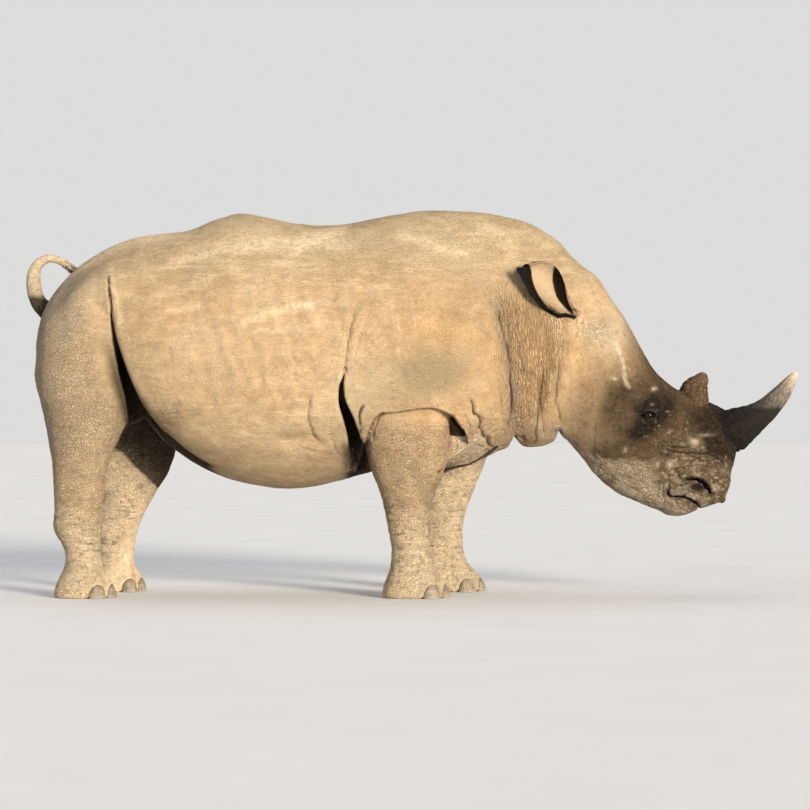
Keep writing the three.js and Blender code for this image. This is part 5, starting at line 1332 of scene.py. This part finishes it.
def horn(name, rows, power, rings, segments, rugged, tipped):
    rows = [tuple(v / 1000 for v in r) for r in rows]
    p, t, w, c, way = loft_points(rows, rings, segments, power)
    out = p - c[:, None]
    out /= np.maximum(np.linalg.norm(out, axis=2, keepdims=True), 1e-9)
    cs, sn = np.cos(w), np.sin(w)
    x, y, z = [p[..., i].ravel().astype(f32) for i in range(3)]
    lean = (w + 0.5 * t).ravel()
    cs2, sn2 = np.cos(lean).astype(f32), np.sin(lean).astype(f32)
    tt = t.ravel().astype(f32)
    fibre = fractal(cs2 * 9, sn2 * 9, tt * 3.0, 81, 3)
    strand = noise(cs2 * 26, sn2 * 26, tt * 5.0, 84)
    lump = fractal(x * 26, y * 26, z * 26, 85, 3)
    bark = fractal(x * 70, y * 70, z * 45, 86, 2)
    size = np.interp(tt, np.linspace(0, 1, len(rows)), [min(r[3], r[4]) for r in rows]) / rows[0][3]
    h = (0.0030 * fibre + 0.0014 * strand) * size**0.5
    base = ease(*rugged, tt)
    h = h + base * (0.007 * lump + 0.0035 * bark - 0.004 * groove(noise(cs2 * 7, sn2 * 7, tt * 9, 87), 0.25))
    ring = 0.0007 * np.sin(tt * 85 + 2 * lump) * ease(0.0, 0.3, tt)
    h = (h + ring * size) * ease(1.0, 0.94, tt) 
    p = p + out * h.reshape(t.shape)[..., None]
    pts_, faces_ = close_loft(p)
    ob = new_mesh(name, pts_, faces_[:, ::-1].copy())
    pad = lambda v: np.concatenate([np.clip(v, 0, 1), [0, 0]]).astype(f32)
    tip = pad(tt)
    tip[-2:] = (0, 1)
    paint(ob, "horn", tip, pad(0.5 + 0.5 * fibre + 0.3 * strand), pad(base * (0.6 + 0.6 * lump)))
    return ob


def horn_material(name, stops, base_colours, dark_below, gloss):
    m, nt, b = new_material(name)
    g = Graph(nt)
    p = g.position()
    run, fibre, base = g.channels("horn")
    n = g.noise(p, 24, 4, 0.6)
    fine = g.noise(p, 140, 4, 0.7)
    streak = g.noise(g.mapped(p, (160, 150, 30), (0, 0.9, 0)), 1.0, 3, 0.6)
    q = g.math("ADD", run, g.math("MULTIPLY", g.math("SUBTRACT", n, 0.5), 0.16))
    ramp = g.node("ShaderNodeValToRGB")
    e = ramp.color_ramp.elements
    while len(e) < len(stops):
        e.new(0.5)
    for i, (at_, c) in enumerate(stops):
        e[i].position = at_
        e[i].color = (*c, 1)
    g.link(q, ramp.inputs[0])
    col = ramp.outputs[0]
    col = g.mix(g.range(fibre, 0.30, 0.75, 0.42, 0.0), col, g.mix(0.65, col, (0.045, 0.034, 0.026)))
    col = g.mix(g.math("MULTIPLY", g.range(streak, 0.50, 0.72, 0.0, 0.5), g.range(run, 0.35, 0.75, 0.12, 1.0)), col, g.mix(0.5, col, (0.80, 0.70, 0.56)))
    rugged = g.mix(g.range(fine, 0.35, 0.65), *base_colours)
    col = g.mix(g.range(base, 0.15, 0.75), col, rugged)
    if dark_below is not None:
        sep = g.node("ShaderNodeSeparateXYZ")
        g.link(p, sep.inputs[0])
        level = g.math("ADD", sep.outputs[2], g.math("MULTIPLY", g.math("SUBTRACT", n, 0.5), 0.05))
        lean = g.math("MULTIPLY_ADD", sep.outputs[0], dark_below[1], level)
        col = g.mix(g.range(lean, dark_below[0] + 0.016, dark_below[0] - 0.016, 0.0, 0.86), col, g.mix(g.range(fine, 0.4, 0.7), (0.007, 0.006, 0.0055), (0.028, 0.024, 0.020)))
    cracks = g.voronoi(g.mapped(p, (60, 60, 34)), 1.0)
    col = g.mix(g.math("MULTIPLY", g.range(cracks, 0.10, 0.0), g.range(base, 0.1, 0.6, 0.10, 0.6)), col, (0.018, 0.013, 0.010))
    g.link(col, b.inputs["Base Color"])
    h = g.math("MULTIPLY_ADD", streak, 1.0, g.math("MULTIPLY", fine, 0.7))
    h = g.math("MULTIPLY_ADD", g.range(cracks, 0.0, 0.12), g.math("MULTIPLY", base, 1.2), h)
    g.link(g.bump(h, 0.0022, 1.0), b.inputs["Normal"])
    g.link(g.mixf(g.range(fine, 0.3, 0.7), gloss, gloss + 0.22), b.inputs["Roughness"])
    b.inputs["Specular IOR Level"].default_value = 0.05
    return m


HORN_FRONT = [(1440, 0, 700, 84, 104), (1440, 0, 718, 88, 108), (1474, 0, 748, 96, 117), (1516, 0, 775, 94, 113), (1560, 0, 799, 80, 91),
              (1604, 0, 826, 65, 73), (1655, 0, 865, 54, 60), (1716, 0, 930, 42, 46), (1753, 0, 981, 29, 32), (1778, 0, 1016, 17, 18),
              (1786, 0, 1028, 8, 8), (1788, 0, 1031, 3, 3)]
HORN_REAR = [(1285, 0, 828, 76, 96), (1292, 0, 850, 78, 98), (1303, 0, 903, 76, 97), (1314, 0, 941, 66, 85), (1329, 0, 972, 52, 68),
             (1344, 0, 997, 36, 45), (1352, 0, 1016, 24, 28), (1355, 0, 1027, 14, 15), (1356, 0, 1031, 5, 5)]
K = 1
front = horn("horn_front_fibres", HORN_FRONT, 2.0, 220 // K, 160 // K, (0.42, 0.22), 1)
front.data.materials.append(horn_material("horn_front", [
    (0.0, (0.006, 0.005, 0.004)), (0.40, (0.014, 0.0115, 0.0095)), (0.54, (0.056, 0.048, 0.041)), (0.68, (0.190, 0.158, 0.128)),
    (0.80, (0.50, 0.41, 0.315)), (1.0, (0.80, 0.675, 0.53))],
    ((0.0035, 0.0028, 0.0023), (0.015, 0.0115, 0.0088)), (0.868, 0.0), 0.62))
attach(front, "root")
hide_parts("horn_front")
rear = horn("horn_rear_fibres", HORN_REAR, 2.1, 120 // K, 130 // K, (1.3, 0.55), 1)
rear.data.materials.append(horn_material("horn_rear", [
    (0.0, (0.045, 0.028, 0.017)), (0.35, (0.075, 0.047, 0.027)), (0.60, (0.125, 0.080, 0.046)), (0.80, (0.20, 0.130, 0.080)),
    (1.0, (0.30, 0.205, 0.135))],
    ((0.038, 0.023, 0.014), (0.165, 0.104, 0.058)), None, 0.66))
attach(rear, "root")
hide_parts("horn_rear")
log("horns")

# ---------------------------------------------------------------- eyes

def eyeball(side):
    """A ball with a domed cornea, looking out sideways and a little forward."""
    s_ = 1 if side == "left" else -1
    way = np.array([0.34, 0.94 * s_, -0.02])
    way /= np.linalg.norm(way)
    e1 = np.cross(way, [0, 0, 1.0])
    e1 /= np.linalg.norm(e1)
    e2 = np.cross(way, e1)
    rings, seg = 72 // K, 96 // K
    th = np.linspace(0.02, np.pi - 0.02, rings)
    w = 2 * np.pi * np.arange(seg) / seg
    dome = 0.0020 * np.clip(1 - (th / 0.62)**2, 0, 1)**0.8
    r = EYE["r"] - 0.0006 + dome
    p = (np.array([EYE["x"], s_ * EYE["y"], EYE["z"]])[None, None]
         + way[None, None] * (r * np.cos(th))[:, None, None]
         + (r * np.sin(th))[:, None, None] * (e1[None, None] * np.cos(w)[None, :, None] + e2[None, None] * np.sin(w)[None, :, None]))
    pts_, faces_ = close_loft(p)
    v = np.vstack([p[0].mean(0), p[-1].mean(0)])
    ob = new_mesh("eyeball_" + side, pts_, faces_[:, ::-1].copy())
    tt = np.concatenate([np.repeat(th, seg) / np.pi, [0, 1]]).astype(f32)
    ray = fractal(np.cos(np.tile(w, rings)) * 14, np.sin(np.tile(w, rings)) * 14, np.repeat(th, seg) * 3, 88, 2)
    ray = np.concatenate([0.5 + 0.5 * ray, [0.5, 0.5]]).astype(f32)
    paint(ob, "ball", tt, ray, tt)
    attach(ob, "root")
    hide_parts("eye_" + side)
    return ob


m, nt, b = new_material("eye")
g = Graph(nt)
far, ray, _ = g.channels("ball")
p = g.position()
iris = g.mix(g.range(ray, 0.25, 0.75), (0.006, 0.004, 0.003), (0.020, 0.011, 0.007))
iris = g.mix(g.range(far, 0.125, 0.165), iris, (0.008, 0.005, 0.004))
white = g.mix(g.range(g.noise(p, 120, 3), 0.4, 0.7), (0.012, 0.009, 0.008), (0.034, 0.025, 0.021))
white = g.mix(g.range(g.voronoi(p, 260), 0.05, 0.05, 0.0, 0.0, 0.4), white, (0.05, 0.012, 0.009))
col = g.mix(g.range(far, 0.070, 0.078), (0.002, 0.002, 0.002), iris)
col = g.mix(g.range(far, 0.172, 0.195), col, white)
g.link(col, b.inputs["Base Color"])
g.link(g.bump(g.noise(p, 300, 2), 0.0001, 0.3), b.inputs["Normal"])
g.link(g.mixf(g.range(far, 0.16, 0.2), 0.05, 0.18), b.inputs["Roughness"])
b.inputs["Specular IOR Level"].default_value = 0.12
b.inputs["Coat Weight"].default_value = 0.16
b.inputs["Coat Roughness"].default_value = 0.02
for side in ("left", "right"):
    eyeball(side).data.materials.append(m)

# ---------------------------------------------------------------- nails

def nail(name, table, s_, w, wide):
    """A broad flat-fronted nail, set into the toe: a closed plate that follows the foot's outline."""
    nu, nv = 34 // K, 26 // K
    u = np.linspace(-1, 1, nu)
    v = np.linspace(0, 1, nv)
    tall = 0.062
    front_, rear_, side_, half_, n_ = [float(c(np.array([0.04]))[0]) for c in table]
    mean_r = (front_ - rear_ + 2 * half_) / 4
    grid = np.zeros((nu, nv, 3))
    inner = np.zeros((nu, nv, 3))
    for i, a in enumerate(u):
        # a rounded arch: full height in the middle, low at both sides
        arch = math.sqrt(max(1 - abs(a)**2.3, 0))
        ang = w + a * wide / mean_r
        for j, q in enumerate(v):
            zz = 0.0015 + q * arch * tall
            x0, y0 = sole(table, s_, ang, zz)
            ox, oy = math.cos(ang), math.sin(ang)
            rim = min(1 - abs(a)**3, 1 - (q * 0.98)**4 if arch > 0.05 else 0)
            t_ = 0.0135 * max(rim, 0)**0.5 * (1.0 + 0.30 * (1 - q)) - 0.0045
            t_ += 0.0006 * math.sin(ang * 55) + 0.0005 * math.sin(q * 22 + 3 * a)
            grid[i, j] = (x0 + ox * t_, y0 + oy * t_, zz)
            inner[i, j] = (x0 - ox * 0.012, y0 - oy * 0.012, zz)
    flat = np.vstack([grid.reshape(-1, 3), inner.reshape(-1, 3)])
    idx = np.arange(nu * nv).reshape(nu, nv)
    q_ = np.stack([idx[:-1, :-1], idx[1:, :-1], idx[1:, 1:], idx[:-1, 1:]], -1).reshape(-1, 4)
    back = q_[:, ::-1] + nu * nv
    rim_ = []
    loop = list(idx[:, 0]) + list(idx[-1, 1:]) + list(idx[-2::-1, -1]) + list(idx[0, -2:0:-1])
    for a, b_ in zip(loop, loop[1:] + loop[:1]):
        rim_.append((b_, a, a + nu * nv, b_ + nu * nv))
    ob = new_mesh("nail_" + name + "_plate", flat, np.vstack([q_, back, np.array(rim_)]))
    up_ = np.repeat(v[None], nu, 0).ravel()
    ac = np.repeat(u[:, None], nv, 1).ravel()
    paint(ob, "plate", np.concatenate([up_, up_]).astype(f32), np.concatenate([ac, ac]).astype(f32) * 0.5 + 0.5,
          np.concatenate([np.ones_like(up_), np.zeros_like(up_)]).astype(f32))
    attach(ob, "root")
    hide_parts("nail_" + name)
    return ob


m, nt, b = new_material("nail")
g = Graph(nt)
p = g.position()
up_a, ac_a, _ = g.channels("plate")
n = g.noise(p, 40, 4, 0.6)
fine = g.noise(p, 170, 3, 0.7)
grow = g.noise(g.mapped(p, (40, 40, 260)), 1.0, 3)
upright = g.noise(g.mapped(p, (300, 300, 22)), 1.0, 3)
col = g.mix(g.range(n, 0.3, 0.7), (0.155, 0.122, 0.086), (0.290, 0.235, 0.168))
col = g.mix(g.range(up_a, 0.25, 0.0, 0.0, 0.65), col, (0.40, 0.335, 0.245))
col = g.mix(g.range(up_a, 0.75, 1.0, 0.0, 0.55), col, (0.10, 0.075, 0.052))
col = g.mix(g.range(upright, 0.52, 0.70, 0.0, 0.55), col, (0.075, 0.056, 0.040))
col = g.mix(g.range(grow, 0.55, 0.72, 0.0, 0.45), col, (0.42, 0.35, 0.26))
g.link(col, b.inputs["Base Color"])
h = g.math("MULTIPLY_ADD", upright, 1.0, g.math("MULTIPLY_ADD", grow, 0.7, g.math("MULTIPLY", fine, 0.5)))
g.link(g.bump(h, 0.0014, 1.0), b.inputs["Normal"])
g.link(g.mixf(g.range(fine, 0.3, 0.7), 0.42, 0.66), b.inputs["Roughness"])
for name, table, s_, w, wide in NAILS:
    nail(name, table, s_, w, wide).data.materials.append(m)
log("eyes and nails")

# ---------------------------------------------------------------- hair

RAND = np.random.default_rng(377)


def unit(v):
    return v / np.maximum(np.linalg.norm(v, axis=-1, keepdims=True), 1e-9)


def tufts(name, root, way, bend, flat, length, width, place, replaces=None):
    """Thin tapering blades, each closed: root points, directions, way they curve, normal of the skin, length, width, place on the unwrap."""
    n = len(root)
    steps = np.array([-0.08, 0.0, 0.28, 0.55, 0.80])
    taper = np.array([0.55, 1.0, 0.95, 0.72, 0.42])
    way, bend = unit(way), np.asarray(bend)
    side = unit(np.cross(way, flat))
    lift = unit(np.cross(side, way))
    rings = []
    for t, k in zip(steps, taper):
        c = root + way * (length * t)[:, None] + bend * (length * max(t, 0)**2)[:, None]
        w_ = (width * k)[:, None]
        rings.append(np.stack([c - side * w_ * 0.5 - lift * w_ * 0.12, c + side * w_ * 0.5 - lift * w_ * 0.12, c + lift * w_ * 0.28], 1))
    tip = root + way * length[:, None] + bend * length[:, None]
    P = np.concatenate([np.stack(rings, 1).reshape(n, -1, 3), tip[:, None]], 1)
    per = P.shape[1]
    tri = []
    for r in range(len(steps) - 1):
        for k in range(3):
            a, b_, c, d = r * 3 + k, r * 3 + (k + 1) % 3, (r + 1) * 3 + (k + 1) % 3, (r + 1) * 3 + k
            tri += [(a, b_, c), (a, c, d)]
    last = (len(steps) - 1) * 3
    tri += [(last + k, last + (k + 1) % 3, per - 1) for k in range(3)] + [(0, 2, 1)]
    tri = np.array(tri)[:, ::-1].copy()
    faces_ = (tri[None] + per * np.arange(n)[:, None, None]).reshape(-1, 3)
    ob = new_mesh(name, P.reshape(-1, 3), faces_)
    along_ = np.concatenate([np.repeat(np.clip(steps, 0, 1), 3), [1.0]]).astype(f32)
    round_ = np.concatenate([np.tile([0.0, 0.5, 1.0], len(steps)), [0.5]]).astype(f32)
    uv = np.stack([place[:, None, 0] + 0.003 * round_[None], place[:, None, 1] + 0.003 * along_[None]], -1).reshape(-1, 2)
    layer = ob.data.uv_layers.new(name="OFBake")
    layer.data.foreach_set("uv", uv[faces_.ravel()].astype(f32).ravel())
    shade_ = np.repeat(RAND.random(n), per).astype(f32)
    paint(ob, "hair", np.tile(along_, n), shade_, np.zeros(n * per, f32))
    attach(ob, "root")
    log(name, n, "tufts", len(faces_), "triangles")
    return ob


def hair_material(name, dark, pale):
    m, nt, b = new_material(name)
    g = Graph(nt)
    run, shade_, _ = g.channels("hair")
    p = g.position()
    n_ = g.noise(p, 60, 3, 0.6)
    col = g.mix(g.range(g.math("ADD", shade_, g.math("SUBTRACT", n_, 0.5)), 0.2, 0.9), dark, pale)
    col = g.mix(g.range(run, 0.45, 1.0, 0.0, 0.5), col, g.mix(0.5, col, (0.10, 0.070, 0.046)))
    g.link(col, b.inputs["Base Color"])
    strand_ = g.noise(g.mapped(p, (900, 900, 900)), 1.0, 2)
    g.link(g.bump(strand_, 0.0002, 0.6), b.inputs["Normal"])
    g.link(g.mixf(n_, 0.42, 0.62), b.inputs["Roughness"])
    b.inputs["Specular IOR Level"].default_value = 0.4
    return m


ear_hair = hair_material("ear_hair", (0.006, 0.0045, 0.0035), (0.026, 0.018, 0.013))
tail_hair = hair_material("tail_hair", (0.018, 0.013, 0.010), (0.070, 0.050, 0.034))


def ear_frame(run):
    """Middle, direction, across and outward of the left ear at a run of 0 to 1, and its half sizes."""
    f = np.linspace(0, 1, len(EAR_PATH))
    c = np.stack([np.interp(run, f, EAR_PATH[:, i]) for i in range(3)], 1)
    w_ = np.gradient(EAR_PATH[:, :3], axis=0)
    u_ = unit(np.stack([np.interp(run, f, w_[:, i]) for i in range(3)], 1))
    dn = unit(EAR_OPEN[None] - (u_ @ EAR_OPEN)[:, None] * u_)
    return c, u_, np.cross(u_, dn), dn, np.interp(run, f, EAR_PATH[:, 3]), np.interp(run, f, EAR_PATH[:, 4])


def ear_coat(side):
    s_ = 1 if side == "left" else -1
    few = 1

    def patch(count, run_, phi, out, forward, length, width, curl):
        """Hairs on the leaf's skin, phi round its section: 0 the lower rim, pi the upper one."""
        c, u_, ac, dn, wa, wb = ear_frame(run_)
        o = ac * np.cos(phi)[:, None] + dn * np.sin(phi)[:, None]
        root = c + ac * (wa * np.cos(phi) * 0.975)[:, None] + dn * (wb * np.sin(phi) * 0.975)[:, None]
        way = unit(o * out[:, None] + u_ * forward[:, None] + 0.22 * RAND.normal(size=(count, 3)))
        bend = u_ * curl[:, None] + 0.10 * RAND.normal(size=(count, 3))
        return root, way, bend, unit(np.cross(u_, o)), length, width, run_, phi
    sets = []
    n_ = 2600 // few                                                  # the fringe of the lower rim
    run_ = 0.29 + 0.68 * RAND.random(n_)**0.9
    phi = RAND.normal(0.02, 0.28, n_)
    L = (0.0045 + 0.0085 * ease(0.62, 0.97, run_)) * (0.7 + 0.6 * RAND.random(n_))
    sets.append(patch(n_, run_, phi, 0.75 + 0 * run_, 0.55 + 0.25 * RAND.random(n_), L, 0.0011 + 0.0008 * RAND.random(n_), 0.15 + 0.2 * RAND.random(n_)))
    n_ = 520 // few                                                   # the thin edge of the upper rim
    run_ = 0.30 + 0.60 * RAND.random(n_)
    phi = math.pi + RAND.normal(0, 0.16, n_)
    L = (0.004 + 0.002 * ease(0.5, 0.95, run_)) * (0.7 + 0.6 * RAND.random(n_))
    sets.append(patch(n_, run_, phi, 0.6 + 0 * run_, 0.75 + 0.2 * RAND.random(n_), L, 0.0009 + 0.0006 * RAND.random(n_), 0.2 + 0 * run_))
    n_ = 520 // few                                                   # the tuft of the tip
    run_ = 0.955 + 0.04 * RAND.random(n_)
    phi = RAND.normal(0.0, 0.55, n_)
    L = 0.014 + 0.014 * RAND.random(n_)
    sets.append(patch(n_, run_, phi, 0.40 * RAND.random(n_), 0.9 + 0 * run_, L, 0.0011 + 0.0007 * RAND.random(n_), -0.05 + 0.25 * RAND.random(n_)))
    root, way, bend, flat, L, W, run_, phi = [np.concatenate([q_[i] for q_ in sets]) for i in range(8)]
    for v in (root, way, bend, flat):
        v[:, 1] *= s_
    place = np.stack([(0.02 if s_ > 0 else 0.52) + 0.45 * ((phi / (2 * math.pi)) % 1.0), 0.03 + 0.93 * run_], 1)
    tufts("ear_fringe_" + side, root, way, bend, flat, L, W, place).data.materials.append(ear_hair)


for side in ("left", "right"):
    ear_coat(side)


def tail_coat():
    few = 1
    n_ = 520 // few
    P_ = TAIL_PATH
    f = np.linspace(0, 1, len(P_))
    run_ = 1 - 0.16 * RAND.random(n_)**1.4
    c = np.stack([np.interp(run_, f, P_[:, i]) for i in range(3)], 1)
    w_ = np.gradient(P_[:, :3], axis=0)
    u_ = unit(np.stack([np.interp(run_, f, w_[:, i]) for i in range(3)], 1))
    a = unit(np.cross(u_, [0, 1.0, 0]))
    b_ = np.cross(u_, a)
    phi = 2 * math.pi * RAND.random(n_)
    o = a * np.cos(phi)[:, None] + b_ * np.sin(phi)[:, None]
    root = c + o * (np.interp(run_, f, P_[:, 3]) * 0.95)[:, None]
    way = unit(u_ * 0.9 + o * (0.25 + 0.2 * RAND.random(n_))[:, None] + 0.12 * RAND.normal(size=(n_, 3)))
    bend = -0.10 * o + np.array([0, 0, -0.18])[None] + 0.06 * RAND.normal(size=(n_, 3))
    L = (0.018 + 0.028 * RAND.random(n_)) * (0.5 + 0.5 * ease(0.84, 0.98, run_))
    place = np.stack([0.05 + 0.85 * phi / (2 * math.pi), 0.05 + 0.85 * run_], 1)
    tufts("tail_bristles", root, way, bend, o, L, 0.0013 + 0.0008 * RAND.random(n_), place).data.materials.append(tail_hair)


tail_coat()


def lashes(side):
    s_ = 1 if side == "left" else -1
    n_ = 90
    lower = np.arange(n_) % 3 == 0
    u_ = RAND.uniform(-0.028, 0.028, n_)
    v_ = np.where(lower, -0.0125 * (1 - (u_ / 0.034)**2) - 0.002, 0.0165 * (1 - (u_ / 0.034)**2) + 0.0025)
    X = EYE["x"] + u_ * 0.995 - v_ * 0.10
    Z = EYE["z"] + u_ * 0.10 + v_ * 0.995
    ys = np.linspace(0.27, 0.15, 241)
    f = skin(np.repeat(X, 241).astype(f32), np.tile(ys, n_).astype(f32), np.repeat(Z, 241).astype(f32)).reshape(n_, 241)
    Y = ys[np.argmax(f < 0, axis=1)] - 0.0015
    root = np.stack([X, s_ * Y, Z], 1)
    down = np.where(lower, -1.0, -0.15)
    way = unit(np.stack([u_ * 12 + 0.25, np.full(n_, 1.0 * s_), down * 0.6], 1) + 0.10 * RAND.normal(size=(n_, 3)))
    bend = np.stack([0 * u_ + 0.15, 0 * u_, np.where(lower, -0.1, -0.25)], 1)
    L = np.where(lower, 0.006, 0.013) * (0.7 + 0.5 * RAND.random(n_))
    place = np.stack([(0.10 if s_ > 0 else 0.60) + 0.3 * (u_ + 0.03) / 0.06, np.where(lower, 0.3, 0.6) + 0.0 * u_], 1)
    tufts("lashes_" + side, root, way, bend, np.tile([0, 0, 1.0], (n_, 1)), L, np.full(n_, 0.0007), place).data.materials.append(ear_hair)


for side in ("left", "right"):
    lashes(side)

# ---------------------------------------------------------------- stage, light and camera

floor = bpy.data.meshes.new("floor")
floor.from_pydata([(-60, -60, 0), (60, -60, 0), (60, 60, 0), (-60, 60, 0)], [], [(0, 1, 2, 3)])
floor_ob = bpy.data.objects.new("floor", floor)
bpy.context.scene.collection.objects.link(floor_ob)
m, nt, b = new_material("floor")
g = Graph(nt)
n = g.noise(g.position(), 1.5, 4)
g.link(g.mix(g.range(n, 0.3, 0.7), (0.76, 0.755, 0.75), (0.785, 0.78, 0.775)), b.inputs["Base Color"])
b.inputs["Roughness"].default_value = 0.9
floor.materials.append(m)

scene = bpy.context.scene
scene.view_settings.view_transform = "Standard"
world = bpy.data.worlds.new("studio")
scene.world = world
world.use_nodes = True
g = Graph(world.node_tree)
bg = world.node_tree.nodes["Background"]
up = g.node("ShaderNodeSeparateXYZ")
g.link(g.node("ShaderNodeTexCoord").outputs["Generated"], up.inputs[0])
band = g.range(g.math("ABSOLUTE", up.outputs[2]), 0.12, 0.40)
g.link(g.mix(band, (0.72, 0.72, 0.715), (0.40, 0.43, 0.47)), bg.inputs[0])
bg.inputs[1].default_value = 1.0


def aimed(ob, way):
    ob.rotation_euler = Vector(way).to_track_quat("-Z", "Y").to_euler()


def lamp(name, kind, energy, colour, way, place=(0, 0, 5), **kw):
    l = bpy.data.lights.new(name, kind)
    l.energy, l.color = energy, colour
    for k, v in kw.items():
        setattr(l, k, v)
    o = bpy.data.objects.new(name, l)
    o.location = place
    aimed(o, way)
    scene.collection.objects.link(o)
    return o


lamp("key", "SUN", 3.9, (1.0, 0.89, 0.74), (-0.45, 0.84, -0.25), angle=math.radians(14))
lamp("low", "SUN", 2.0, (1.0, 0.89, 0.74), (-0.50, 0.85, -0.09), angle=math.radians(14))
lamp("fill", "SUN", 0.22, (0.88, 0.94, 1.0), (0.8, 0.5, -0.30), angle=math.radians(60))
lamp("rim", "SUN", 0.55, (1.0, 0.95, 0.88), (0.15, -0.45, -0.88), angle=math.radians(60))

cam = bpy.data.cameras.new("camera")
cam.sensor_width = 36
cam.lens = 36 * 15.5 / (810 * MIDDLE)
cam.clip_end = 200
cam_ob = bpy.data.objects.new("camera", cam)
cam_ob.location = (-0.03255, -15.5, 0.87885)
cam_ob.rotation_euler = (math.pi / 2, 0, 0)
scene.collection.objects.link(cam_ob)
scene.camera = cam_ob

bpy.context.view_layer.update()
log("done")
